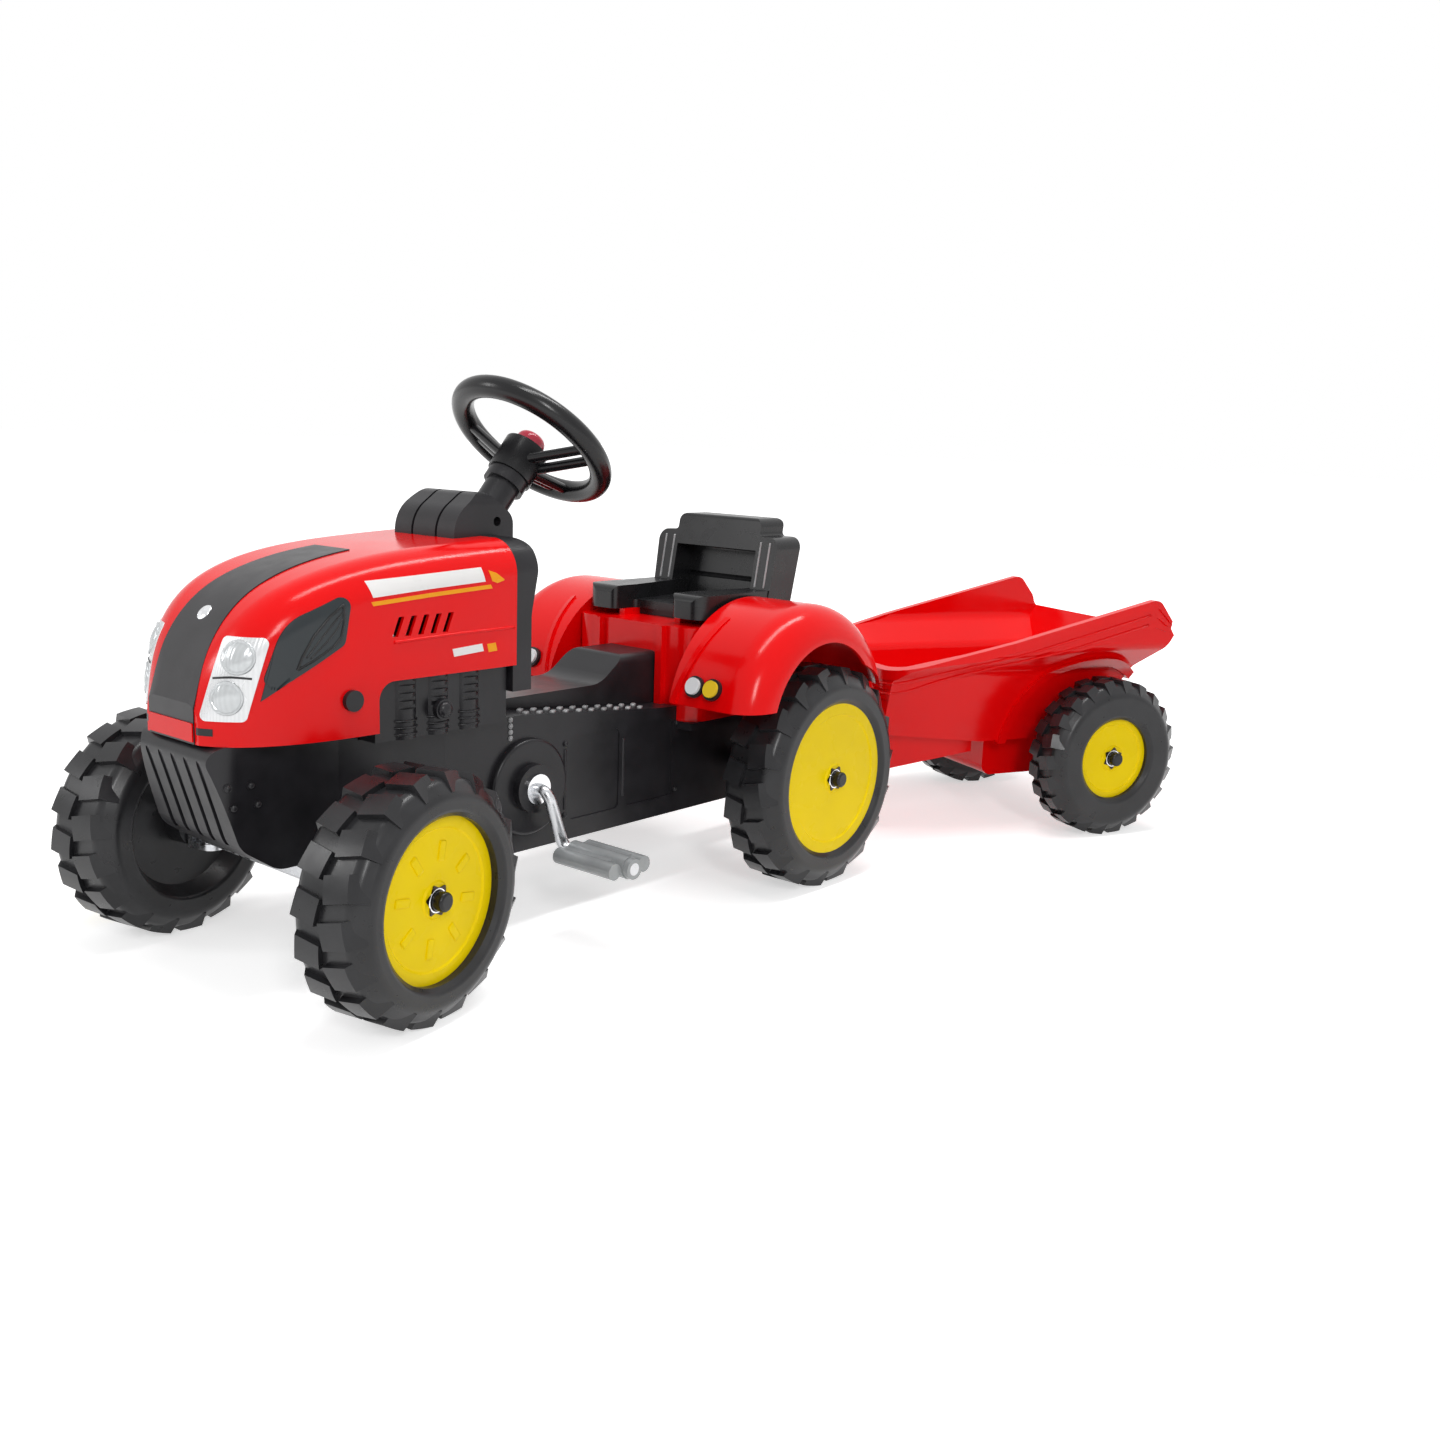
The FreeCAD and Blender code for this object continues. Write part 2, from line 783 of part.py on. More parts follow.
console = prism([
    (dash_waist_x, belly_z),
    (dash_waist_x, console_front_z),
    (console_foot_x, console_front_z, console_foot_round),
    (console_top_x, console_top_z, console_round),
    (pedestal_front_x, console_top_z),
    (pedestal_front_x, belly_z),
], at_y, -console_half_width, console_half_width)
console_round_top = prism([
    (-console_half_width, belly_z),
    (console_half_width, belly_z),
    (console_half_width, console_top_z, console_round),
    (-console_half_width, console_top_z, console_round),
], at_x, pedestal_front_x, dash_waist_x)
console = console.common(console_round_top).cut(chassis_outer)
chassis_frame = fused([
    chassis_shell.cut(side_recesses), console, ledge, mirrored(ledge),
    crank_boss, mirrored(crank_boss), crank_dome, mirrored(crank_dome)])
groove_top = hood_bottom_z - nose_groove_top
grooves = []
for i in range(nose_groove_count):
    middle = (i - (nose_groove_count - 1) / 2) * nose_groove_pitch
    grooves.append(prism([
        (chassis_nose_x + cut_overrun, groove_top),
        (chassis_nose_x - nose_groove_depth, groove_top),
        (chassis_nose_bottom_x - nose_groove_depth, chassis_nose_bottom_z),
        (chassis_nose_bottom_x + cut_overrun, chassis_nose_bottom_z),
    ], at_y, middle - nose_groove_width / 2, middle + nose_groove_width / 2))
axle_holes = cylinder(
    crank_bush_radius,
    FreeCAD.Vector(0, -chassis_half_width - cut_overrun, rear_wheel_radius),
    FreeCAD.Vector(0, chassis_half_width + cut_overrun, rear_wheel_radius))
crank_holes = cylinder(
    crank_bush_radius,
    FreeCAD.Vector(crank_x, -crank_boss_end, crank_z), FreeCAD.Vector(crank_x, crank_boss_end, crank_z))
lower_bush_hole = column_cylinder(lower_bush_radius, lower_bush_top, lower_bush_bottom)
chassis_frame = chassis_frame.cut(
    grooves + [belly_opening, front_opening, axle_holes, crank_holes, lower_bush_hole, rod_passage])
steering_lower_bush = lower_bush_hole.cut(
    column_cylinder(steering_rod_radius + running_clearance, lower_bush_top, lower_bush_bottom))


def flanged_bush(x, z, inner_y, face_y):
    """A plain bearing pushed into a wall from outside, with its flange against the wall."""
    barrel = tube(crank_bush_radius, free_bore, FreeCAD.Vector(x, inner_y, z), FreeCAD.Vector(x, face_y, z))
    flange = tube(
        crank_bush_flange_radius, free_bore,
        FreeCAD.Vector(x, face_y, z), FreeCAD.Vector(x, face_y + crank_bush_flange, z))
    return barrel.fuse(flange).removeSplitter()


wall_inner = chassis_half_width - chassis_wall
rear_axle_bushes = both(flanged_bush(0, rear_wheel_radius, wall_inner, chassis_half_width))
crank_bushes = both(flanged_bush(crank_x, crank_z, wall_inner, crank_boss_end))


def hood_form(offset):
    """The hood's outer form, or the same form grown or drawn in by an offset."""
    drop = cut_overrun if offset < 0 else 0
    last = len(hood_section_shares) - 1
    wires = []
    for i, (along, wide, tall, bend) in enumerate(hood_section_shares):
        x = hood_rear_x + along * hood_length
        if i == 0:
            x = x - drop
        if i == last:
            x = x + offset
        half = wide * hood_half_width + offset
        top = hood_bottom_z + tall * hood_height + offset
        wires.append(outline([
            (-half, hood_bottom_z - drop),
            (half, hood_bottom_z - drop),
            (half, top, bend * hood_corner + offset),
            (-half, top, bend * hood_corner + offset),
        ], at_x, x))
    return Part.makeLoft(wires, True, False)


hood_top_z = hood_bottom_z + hood_height
hood_nose_x = hood_rear_x + hood_length
hood_outer = hood_form(0)
hood_inner = hood_form(-hood_wall)
trim_skin = hood_form(trim_proud).cut(hood_inner)

grille_rear_x = hood_nose_x - grille_length
headlamp_x = hood_nose_x - headlamp_setback
side_panel_rear_x = hood_nose_x - side_panel_rear_setback
side_panel_tip_x = hood_nose_x - side_panel_tip_setback
side_panel_brow_x = hood_nose_x - side_panel_brow_setback
plug_x = engine_bay_front_x + plug_gap
grille_cut = prism([
    (grille_rear_x, -grille_rear_half_width),
    (hood_nose_x + cut_overrun, -grille_front_half_width),
    (hood_nose_x + cut_overrun, grille_front_half_width),
    (grille_rear_x, grille_rear_half_width),
], at_z, hood_bottom_z, hood_top_z + cut_overrun)
grille_strip = trim_skin.common(grille_cut)

yaw = math.radians(headlamp_yaw)
headlamp_across = headlamp_y * math.cos(yaw) - headlamp_x * math.sin(yaw)
headlamp_out = headlamp_x * math.cos(yaw) + headlamp_y * math.sin(yaw)
headlamp_low = headlamp_z - headlamp_half_height
headlamp_high = headlamp_z + headlamp_half_height
headlamp_cut = prism([
    (headlamp_across - headlamp_half_width - headlamp_lean, headlamp_low, headlamp_round),
    (headlamp_across + headlamp_half_width - headlamp_lean, headlamp_low, headlamp_round),
    (headlamp_across + headlamp_half_width + headlamp_lean, headlamp_high, headlamp_round),
    (headlamp_across - headlamp_half_width + headlamp_lean, headlamp_high, headlamp_round),
], at_x, headlamp_out - headlamp_reach, headlamp_out + headlamp_reach)
headlamp_cut = rotated(headlamp_cut, FreeCAD.Vector(), FreeCAD.Vector(0, 0, 1), headlamp_yaw).cut(grille_cut)
headlamp = trim_skin.common(headlamp_cut)

side_panel_cut = prism([
    (side_panel_rear_x, side_panel_top_z, side_panel_round),
    (side_panel_rear_x + side_panel_round, side_panel_rear_z, side_panel_round),
    (side_panel_tip_x, side_panel_tip_z, side_panel_round),
    (side_panel_brow_x, side_panel_brow_z, side_panel_brow_round),
], at_y, hood_half_width / 2, hood_half_width + cut_overrun).cut(headlamp_cut)
side_panel = trim_skin.common(side_panel_cut)

slots = []
for i in range(slot_count):
    low = slot_first_x + i * slot_pitch
    slots.append(prism([
        (low, slot_bottom_z),
        (low + slot_width, slot_bottom_z),
        (low + slot_width - slot_lean, slot_bottom_z + slot_height),
        (low - slot_lean, slot_bottom_z + slot_height),
    ], at_y, -hood_half_width - cut_overrun, hood_half_width + cut_overrun))
plug_hole = cylinder(
    plug_shank_radius,
    FreeCAD.Vector(plug_x, hood_half_width - cut_overrun, plug_z),
    FreeCAD.Vector(plug_x, hood_half_width, plug_z))
plug_head_disc = cylinder(
    plug_radius,
    FreeCAD.Vector(plug_x, hood_half_width - cut_overrun, plug_z),
    FreeCAD.Vector(plug_x, hood_half_width + plug_head, plug_z)).cut(hood_outer)
hood_plugs = both(plug_hole.fuse(plug_head_disc).removeSplitter())
engine_bay = prism([
    (hood_rear_x - cut_overrun, hood_bottom_z - cut_overrun),
    (engine_bay_front_x, hood_bottom_z - cut_overrun),
    (engine_bay_front_x, engine_bay_top_z, engine_bay_round),
    (hood_rear_x - cut_overrun, engine_bay_top_z),
], at_y, -hood_half_width - cut_overrun, hood_half_width + cut_overrun)
hood = hood_outer.cut([
    hood_inner, grille_cut, headlamp_cut, mirrored(headlamp_cut), side_panel_cut, mirrored(side_panel_cut),
    engine_bay, plug_hole, mirrored(plug_hole), rod_passage] + slots)

# Engine block: a hollow moulding with cylinder barrels on both sides
engine_rear_x = hood_rear_x + engine_gap
engine_front_x = engine_bay_front_x - engine_gap
engine_length = engine_front_x - engine_rear_x
engine_top_z = engine_bay_top_z + engine_rise
engine_pieces = [Part.makeBox(
    engine_length, 2 * engine_half_width, engine_top_z - deck_z,
    FreeCAD.Vector(engine_rear_x, -engine_half_width, deck_z))]
for i in range(engine_cylinder_count):
    x = engine_rear_x + engine_length * (engine_cylinder_first_share + i * engine_cylinder_pitch_share)
    y = engine_half_width + engine_cylinder_proud - engine_cylinder_radius
    barrel = cylinder(
        engine_cylinder_radius, FreeCAD.Vector(x, y, deck_z), FreeCAD.Vector(x, y, engine_top_z))
    engine_pieces.append(barrel)
    engine_pieces.append(mirrored(barrel))
engine_block = fused(engine_pieces).cut(Part.makeBox(
    engine_length - 2 * engine_wall, 2 * (engine_half_width - engine_cylinder_radius - engine_wall),
    engine_top_z - deck_z + 2 * cut_overrun,
    FreeCAD.Vector(
        engine_rear_x + engine_wall, engine_cylinder_radius + engine_wall - engine_half_width,
        deck_z - cut_overrun)))
fin_pitch = (engine_top_z - deck_z) * engine_fin_share / engine_fin_count
fins = []
for i in range(engine_fin_count):
    low = engine_bay_top_z - (i + 1) * fin_pitch
    fins.append(Part.makeBox(
        engine_length + 2 * cut_overrun, cut_overrun, fin_pitch / 2,
        FreeCAD.Vector(
            engine_rear_x - cut_overrun, engine_half_width + engine_cylinder_proud - engine_fin_depth, low)))
engine_block = engine_block.cut(fins + [mirrored(fin) for fin in fins] + [rod_passage])

# Dash panel behind the hood, and the cover over the foot of the steering column
dash_face = prism([
    (hood_rear_x, dash_bottom_z),
    (hood_rear_x, hood_top_z),
    (dash_rear_x, hood_top_z, dash_round),
    (dash_rear_x, hood_top_z - dash_depth, dash_depth),
    (dash_waist_x, (hood_top_z + dash_bottom_z) / 2, dash_depth),
    (dash_waist_x, dash_bottom_z),
], at_y, -dash_half_width, dash_half_width)
dash_outline = prism([
    (-dash_half_width, dash_bottom_z),
    (dash_half_width, dash_bottom_z),
    (dash_half_width, hood_top_z, hood_corner),
    (-dash_half_width, hood_top_z, hood_corner),
], at_x, dash_rear_x, hood_rear_x)
dash_leg = Part.makeBox(
    hood_rear_x - dash_waist_x, 2 * dash_leg_half_width, dash_bottom_z - deck_z,
    FreeCAD.Vector(dash_waist_x, -dash_leg_half_width, deck_z))
dash_solid = fused([dash_face.common(dash_outline), dash_leg])
sleeve_top = steering_hub_depth - steering_hub_rise + wheel_end_gap
sleeve_bottom = sleeve_top + sleeve_length
sleeve_form = column_cylinder(sleeve_radius, sleeve_top, sleeve_bottom)
dash_panel = dash_solid.cut([rod_passage, sleeve_form])
cowl_profile = [
    (cowl_rear_x, cowl_base_z),
    (cowl_front_x, cowl_base_z),
    (cowl_front_x, cowl_top_z - cowl_shoulder_drop, cowl_front_round),
    ((cowl_front_x + cowl_rear_x) / 2, cowl_top_z, cowl_round),
    (cowl_rear_x, cowl_top_z - cowl_shoulder_drop, cowl_round),
]
cowl_side = prism(cowl_profile, at_y, -cowl_half_width, cowl_half_width)
cowl_front = prism([
    (-cowl_half_width, cowl_base_z),
    (cowl_half_width, cowl_base_z),
    (cowl_half_width, cowl_top_z, cowl_round),
    (-cowl_half_width, cowl_top_z, cowl_round),
], at_x, cowl_rear_x, cowl_front_x)
cowl_core = Part.Face(outline(cowl_profile, at_y, cowl_groove_y)).makeOffset2D(-cowl_groove_depth)
cowl_groove = prism(cowl_profile, at_y, cowl_groove_y, cowl_groove_y + cowl_groove_width).cut(
    cowl_core.extrude(FreeCAD.Vector(0, cowl_groove_width, 0)))
cowl_eye = cylinder(
    cowl_eye_radius,
    FreeCAD.Vector(cowl_eye_x, cowl_half_width - cowl_eye_depth, cowl_eye_z),
    FreeCAD.Vector(cowl_eye_x, cowl_half_width, cowl_eye_z))
steering_cowl = cowl_side.common(cowl_front).cut([
    hood_outer, dash_solid, rod_passage, sleeve_form,
    cowl_groove, mirrored(cowl_groove), cowl_eye, mirrored(cowl_eye)])
sleeve_collar_form = column_cylinder(sleeve_collar_radius, sleeve_top, sleeve_top + sleeve_collar)
column_sleeve = fused([sleeve_form, sleeve_collar_form]).cut(
    [column_cylinder(steering_rod_radius + running_clearance, 0, column_length)])

# Steering wheel, rod and horn button, drawn about Z with the rim in the plane Z = 0
rim_centre = steering_wheel_radius - steering_rim_radius
hub_top = steering_hub_rise
hub_bottom = steering_hub_rise - steering_hub_depth
horn_seat = hub_top - horn_depth
wheel_pieces = [
    Part.makeTorus(rim_centre, steering_rim_radius),
    cylinder(steering_hub_radius, FreeCAD.Vector(0, 0, hub_bottom), FreeCAD.Vector(0, 0, hub_top)),
]
spoke_inner_share = 0.6
spoke_height = (hub_top + hub_bottom) / 2
for turn in (90, 180, 270):
    for side in (-0.5, 0.5):
        spoke = cylinder(
            steering_spoke_radius,
            FreeCAD.Vector(spoke_inner_share * steering_hub_radius, side * steering_spoke_gap, spoke_height),
            FreeCAD.Vector(rim_centre, side * steering_spoke_gap, 0))
        wheel_pieces.append(rotated(spoke, FreeCAD.Vector(), FreeCAD.Vector(0, 0, 1), turn))
horn_well = cylinder(
    horn_radius + running_clearance,
    FreeCAD.Vector(0, 0, horn_seat - horn_travel), FreeCAD.Vector(0, 0, cut_overrun))
rod_top = hub_bottom + steering_rod_socket
rod_socket = cylinder(steering_rod_radius, FreeCAD.Vector(0, 0, hub_bottom), FreeCAD.Vector(0, 0, rod_top))
steering_wheel = column(fused(wheel_pieces).cut([horn_well, rod_socket]), rest_steer)
steering_rod = column(bent_bar([
    FreeCAD.Vector(0, 0, rod_top),
    FreeCAD.Vector(0, 0, -column_length),
    FreeCAD.Vector(-steering_arm - finger_overreach, 0, -column_length),
], steering_rod_radius, steering_rod_bend), rest_steer)
horn_button = column(turned([
    (horn_seat, 0),
    (horn_seat, horn_radius),
    (hub_top, horn_radius),
    (hub_top + horn_radius, horn_radius, horn_radius),
    (hub_top + horn_radius, 0),
], "Z"), rest_steer)

# Front axle beam with fixed kingpins; the knuckles swing on them and carry the wheels
front_axle_z = front_wheel_radius
beam_eye = cylinder(
    beam_eye_radius,
    FreeCAD.Vector(wheelbase, kingpin_half_track, beam_bottom),
    FreeCAD.Vector(wheelbase, kingpin_half_track, beam_top))
kingpin_top = yoke_top + yoke_thickness + yoke_gap
kingpin_low = FreeCAD.Vector(wheelbase, kingpin_half_track, yoke_bottom - yoke_thickness)
kingpin = fused([
    cylinder(kingpin_radius, kingpin_low, FreeCAD.Vector(wheelbase, kingpin_half_track, kingpin_top)),
    cylinder(
        kingpin_head_radius,
        FreeCAD.Vector(wheelbase, kingpin_half_track, kingpin_top),
        FreeCAD.Vector(wheelbase, kingpin_half_track, kingpin_top + kingpin_head)),
])
kingpins = both(kingpin)
beam_bar = prism([
    (wheelbase - beam_depth / 2, beam_bottom, beam_edge_round),
    (wheelbase + beam_depth / 2, beam_bottom, beam_edge_round),
    (wheelbase + beam_depth / 2, beam_top),
    (wheelbase - beam_depth / 2, beam_top),
], at_y, -kingpin_half_track, kingpin_half_track)
front_axle_beam = fused([beam_bar, beam_eye, mirrored(beam_eye)]).cut([kingpin, mirrored(kingpin)])

upright_inner = kingpin_half_track + yoke_upright_inner
upright_outer = upright_inner + yoke_upright_thickness
front_seat = cap_seat(front_half_track, front_tyre_width, front_disc_inset)
front_tip = axle_tip(front_half_track, front_tyre_width, front_disc_inset)


def yoke_plate(low):
    """One of the two plates that hold a kingpin."""
    return prism([
        (wheelbase - yoke_half_width, kingpin_half_track - yoke_half_width, yoke_half_width),
        (wheelbase + yoke_half_width, kingpin_half_track - yoke_half_width, yoke_half_width),
        (wheelbase + yoke_half_width, upright_outer),
        (wheelbase - yoke_half_width, upright_outer),
    ], at_z, low, low + yoke_thickness)


knuckle = fused([
    yoke_plate(yoke_top),
    yoke_plate(yoke_bottom - yoke_thickness),
    Part.makeBox(
        2 * yoke_half_width, yoke_upright_thickness, yoke_top - yoke_bottom + 2 * yoke_thickness,
        FreeCAD.Vector(wheelbase - yoke_half_width, upright_inner, yoke_bottom - yoke_thickness)),
    cylinder(
        axle_radius,
        FreeCAD.Vector(wheelbase, upright_inner, front_axle_z),
        FreeCAD.Vector(wheelbase, front_tip, front_axle_z)),
    cylinder(
        axle_radius + axle_spacer_wall,
        FreeCAD.Vector(wheelbase, upright_inner, front_axle_z),
        FreeCAD.Vector(wheelbase, front_half_track - front_tyre_width / 2 - wheel_end_gap, front_axle_z)),
    prism([
        (arm_x - arm_half_width, kingpin_half_track - arm_half_width, arm_half_width),
        (wheelbase, kingpin_half_track - arm_half_width),
        (wheelbase, kingpin_half_track + arm_half_width),
        (arm_x - arm_half_width, kingpin_half_track + arm_half_width, arm_half_width),
    ], at_z, yoke_bottom - yoke_thickness, yoke_bottom),
    cylinder(
        arm_pin_radius,
        FreeCAD.Vector(arm_x, kingpin_half_track, yoke_bottom - yoke_thickness),
        FreeCAD.Vector(arm_x, kingpin_half_track, tie_rod_top)),
]).cut(cylinder(
    kingpin_radius + running_clearance,
    kingpin_low - FreeCAD.Vector(0, 0, cut_overrun),
    FreeCAD.Vector(wheelbase, kingpin_half_track, kingpin_top)))
front_sizes = (front_wheel_radius, front_tyre_width, front_disc_radius, front_disc_inset)
front_tyre = moved(tyre(*front_sizes, free_bore, front_lug_count), wheelbase, front_half_track, front_axle_z)
front_disc = moved(hub_disc(*front_sizes[1:], free_bore), wheelbase, front_half_track, front_axle_z)
front_cap = moved(axle_cap(front_seat), wheelbase, 0, front_axle_z)


def steered(shape, side):
    """Turn a piece of a front wheel about its kingpin by the angle that it rests at."""
    pivot = FreeCAD.Vector(wheelbase, side * kingpin_half_track, 0)
    return rotated(shape, pivot, FreeCAD.Vector(0, 0, 1), rest_steer)


tie_rod_bar = prism([
    (arm_x - tie_rod_half_width, -kingpin_half_track),
    (arm_x + tie_rod_half_width, -kingpin_half_track),
    (arm_x + tie_rod_half_width, kingpin_half_track),
    (arm_x - tie_rod_half_width, kingpin_half_track),
], at_z, tie_rod_bottom, tie_rod_top)
tie_rod_eye = cylinder(
    tie_rod_eye_radius,
    FreeCAD.Vector(arm_x, kingpin_half_track, tie_rod_bottom),
    FreeCAD.Vector(arm_x, kingpin_half_track, tie_rod_top))
fork_slot_half_width = steering_rod_radius / math.cos(math.radians(steering_lock)) + fork_side_gap
fork = prism([
    (-fork_half_width, tie_rod_top),
    (fork_half_width, tie_rod_top),
    (fork_half_width, finger_z + fork_prong_above),
    (fork_slot_half_width, finger_z + fork_prong_above),
    (fork_slot_half_width, finger_z - fork_slot_below),
    (-fork_slot_half_width, finger_z - fork_slot_below),
    (-fork_slot_half_width, finger_z + fork_prong_above),
    (-fork_half_width, finger_z + fork_prong_above),
], at_x, arm_x - fork_thickness / 2, arm_x + fork_thickness / 2)
left_pin_hole = cylinder(
    arm_pin_radius + running_clearance,
    FreeCAD.Vector(arm_x, kingpin_half_track, beam_bottom - cut_overrun),
    FreeCAD.Vector(arm_x, kingpin_half_track, beam_top))
right_pin_hole = cylinder(
    arm_pin_radius + open_pivot_clearance,
    FreeCAD.Vector(arm_x, -kingpin_half_track, beam_bottom - cut_overrun),
    FreeCAD.Vector(arm_x, -kingpin_half_track, beam_top))
rest_cos = math.cos(math.radians(rest_steer))
rest_sin = math.sin(math.radians(rest_steer))
tie_rod = moved(
    fused([tie_rod_bar, tie_rod_eye, mirrored(tie_rod_eye), fork]).cut([left_pin_hole, right_pin_hole]),
    steering_arm * (1 - rest_cos), -steering_arm * rest_sin, 0)

# Crank with two throws, free-spinning pedals and the chain to the rear axle
crank_down_x = -crank_throw * math.sin(math.radians(crank_rest_angle))
crank_down_z = -crank_throw * math.cos(math.radians(crank_rest_angle))
pedal_start = crank_arm_y + axle_radius + pedal_gap
pedal_end = pedal_start + pedal_length
left_throw_x = crank_x + crank_down_x
left_throw_z = crank_z + crank_down_z
right_throw_x = crank_x - crank_down_x
right_throw_z = crank_z - crank_down_z
crank_tip = pedal_end + wheel_end_gap + pedal_cap_length
crank_rod = bent_bar([
    FreeCAD.Vector(right_throw_x, -crank_tip, right_throw_z),
    FreeCAD.Vector(right_throw_x, -crank_arm_y, right_throw_z),
    FreeCAD.Vector(crank_x, -crank_arm_y, crank_z),
    FreeCAD.Vector(crank_x, crank_arm_y, crank_z),
    FreeCAD.Vector(left_throw_x, crank_arm_y, left_throw_z),
    FreeCAD.Vector(left_throw_x, crank_tip, left_throw_z),
], axle_radius, crank_bend)
pedal_lobe = cylinder(
    pedal_lobe_radius,
    FreeCAD.Vector(pedal_half_width, pedal_start, 0), FreeCAD.Vector(pedal_half_width, pedal_end, 0))
pedal_lobe_twin = moved(pedal_lobe, -2 * pedal_half_width, 0, 0)
pedal_web_plate = Part.makeBox(
    2 * pedal_half_width, pedal_length - pedal_notch, pedal_web,
    FreeCAD.Vector(-pedal_half_width, pedal_start, -pedal_web / 2))
pedal_boss = cylinder(
    pedal_boss_radius, FreeCAD.Vector(0, pedal_start, 0), FreeCAD.Vector(0, pedal_end, 0))
pedal_bore = cylinder(
    free_bore, FreeCAD.Vector(0, pedal_start - cut_overrun, 0), FreeCAD.Vector(0, pedal_end + cut_overrun, 0))
pedal = fused([pedal_web_plate, pedal_lobe, pedal_lobe_twin, pedal_boss]).cut(pedal_bore)
pedal_left = moved(pedal, left_throw_x, 0, left_throw_z)
pedal_right = mirrored(moved(pedal, right_throw_x, 0, right_throw_z))
pedal_cap = tube(
    pedal_cap_radius, axle_radius,
    FreeCAD.Vector(0, pedal_end + wheel_end_gap, 0), FreeCAD.Vector(0, crank_tip, 0))
pedal_caps = Part.makeCompound([
    moved(pedal_cap, left_throw_x, 0, left_throw_z),
    mirrored(moved(pedal_cap, right_throw_x, 0, right_throw_z)),
])


def pitch_radius(teeth):
    """The radius at which a chain of the named pitch lies on a sprocket."""
    return chain_pitch / (2 * math.sin(math.pi / teeth))


def sprocket(teeth, x, z):
    """A toothed wheel with a collar, on a shaft along Y."""
    middle = pitch_radius(teeth)
    tip = middle - tooth_root + tooth_height
    root = middle - tooth_root
    step = 2 * math.pi / teeth
    points = []
    for i in range(teeth):
        for share, radius in (
                (-tooth_foot_share, root),
                (-tooth_tip_share, tip),
                (tooth_tip_share, tip),
                (tooth_foot_share, root)):
            angle = (i + share) * step
            points.append((x + radius * math.cos(angle), z + radius * math.sin(angle)))
    low = sprocket_y - sprocket_thickness / 2
    wheel = prism(points, at_y, low, low + sprocket_thickness)
    collar = cylinder(
        sprocket_collar_radius,
        FreeCAD.Vector(x, low - sprocket_collar, z), FreeCAD.Vector(x, low, z))
    bore = cylinder(
        axle_radius,
        FreeCAD.Vector(x, low - sprocket_collar - cut_overrun, z),
        FreeCAD.Vector(x, low + sprocket_thickness + cut_overrun, z))
    return fused([wheel, collar]).cut(bore)


drive_sprocket = sprocket(crank_teeth, crank_x, crank_z)
axle_sprocket = sprocket(axle_teeth, 0, rear_wheel_radius)


def chain_loop(offset, level):
    """The face inside a line that runs round both sprockets, at an offset from the chain's pitch line."""
    ahead = FreeCAD.Vector(crank_x, 0, crank_z - rear_wheel_radius)
    big = pitch_radius(crank_teeth) + offset
    small = pitch_radius(axle_teeth) + offset
    spread = math.degrees(math.acos((big - small) / ahead.Length))
    front = FreeCAD.Vector(crank_x, level, crank_z)
    rear = FreeCAD.Vector(0, level, rear_wheel_radius)
    unit = FreeCAD.Vector(ahead).normalize()
    above = FreeCAD.Rotation(FreeCAD.Vector(0, -1, 0), spread).multVec(unit)
    below = FreeCAD.Rotation(FreeCAD.Vector(0, 1, 0), spread).multVec(unit)
    edges = [
        Part.Arc(front + below * big, front + unit * big, front + above * big).toShape(),
        Part.LineSegment(front + above * big, rear + above * small).toShape(),
        Part.Arc(rear + above * small, rear - unit * small, rear + below * small).toShape(),
        Part.LineSegment(rear + below * small, front + below * big).toShape(),
    ]
    return Part.Face(Part.Wire(edges)), edges


plate_gap = sprocket_thickness / 2 + loose_clearance
plate_levels = (sprocket_y - plate_gap - chain_plate_thickness, sprocket_y + plate_gap)
chain_pieces = []
for level in plate_levels:
    plate = chain_loop(chain_plate_half_height, level)[0].cut(chain_loop(-chain_plate_half_height, level)[0])
    chain_pieces.append(plate.extrude(FreeCAD.Vector(0, chain_plate_thickness, 0)))
roller_start = sprocket_y - plate_gap
roller_run = FreeCAD.Vector(0, 2 * plate_gap, 0)
free_links = 3
for edge in (chain_loop(0, roller_start)[1][1], chain_loop(0, roller_start)[1][3]):
    links = int(edge.Length / chain_pitch)
    for i in range(free_links, links - free_links + 1):
        spot = edge.valueAt(edge.FirstParameter + (edge.LastParameter - edge.FirstParameter) * i / links)
        chain_pieces.append(Part.makeBox(
            2 * chain_roller_half_size, roller_run.y, 2 * chain_roller_half_size,
            spot - FreeCAD.Vector(chain_roller_half_size, 0, chain_roller_half_size)))
drive_chain = fused(chain_pieces)


def arch_face(radius, level, reach):
    """The side view of a fender: an arch closed below, and carried further down by a reach."""
    front = math.sqrt(radius ** 2 - (fender_front_z - fender_arch_z) ** 2)
    rear = math.sqrt(radius ** 2 - (fender_rear_z - fender_arch_z) ** 2)
    start = FreeCAD.Vector(fender_arch_x + front, level, fender_front_z)
    top = FreeCAD.Vector(fender_arch_x, level, fender_arch_z + radius)
    end = FreeCAD.Vector(fender_arch_x - rear, level, fender_rear_z)
    edges = [Part.Arc(start, top, end).toShape()]
    corners = [end]
    if reach > 0:
        corners.append(end - FreeCAD.Vector(0, 0, reach))
        corners.append(start - FreeCAD.Vector(0, 0, reach))
    corners.append(start)
    for i in range(len(corners) - 1):
        edges.append(Part.LineSegment(corners[i], corners[i + 1]).toShape())
    return Part.Face(Part.Wire(edges))


def arch_solid(radius, inner, outer, edge_round, reach):
    """A solid arch with its outer top edge rounded."""
    solid = arch_face(radius, inner, reach).extrude(FreeCAD.Vector(0, outer - inner, 0))
    for edge in solid.Edges:
        middle = edge.valueAt((edge.FirstParameter + edge.LastParameter) / 2)
        if abs(middle.y - outer) < coincident and middle.z > fender_arch_z + radius / 2:
            return solid.makeFillet(edge_round, [edge])
    return solid


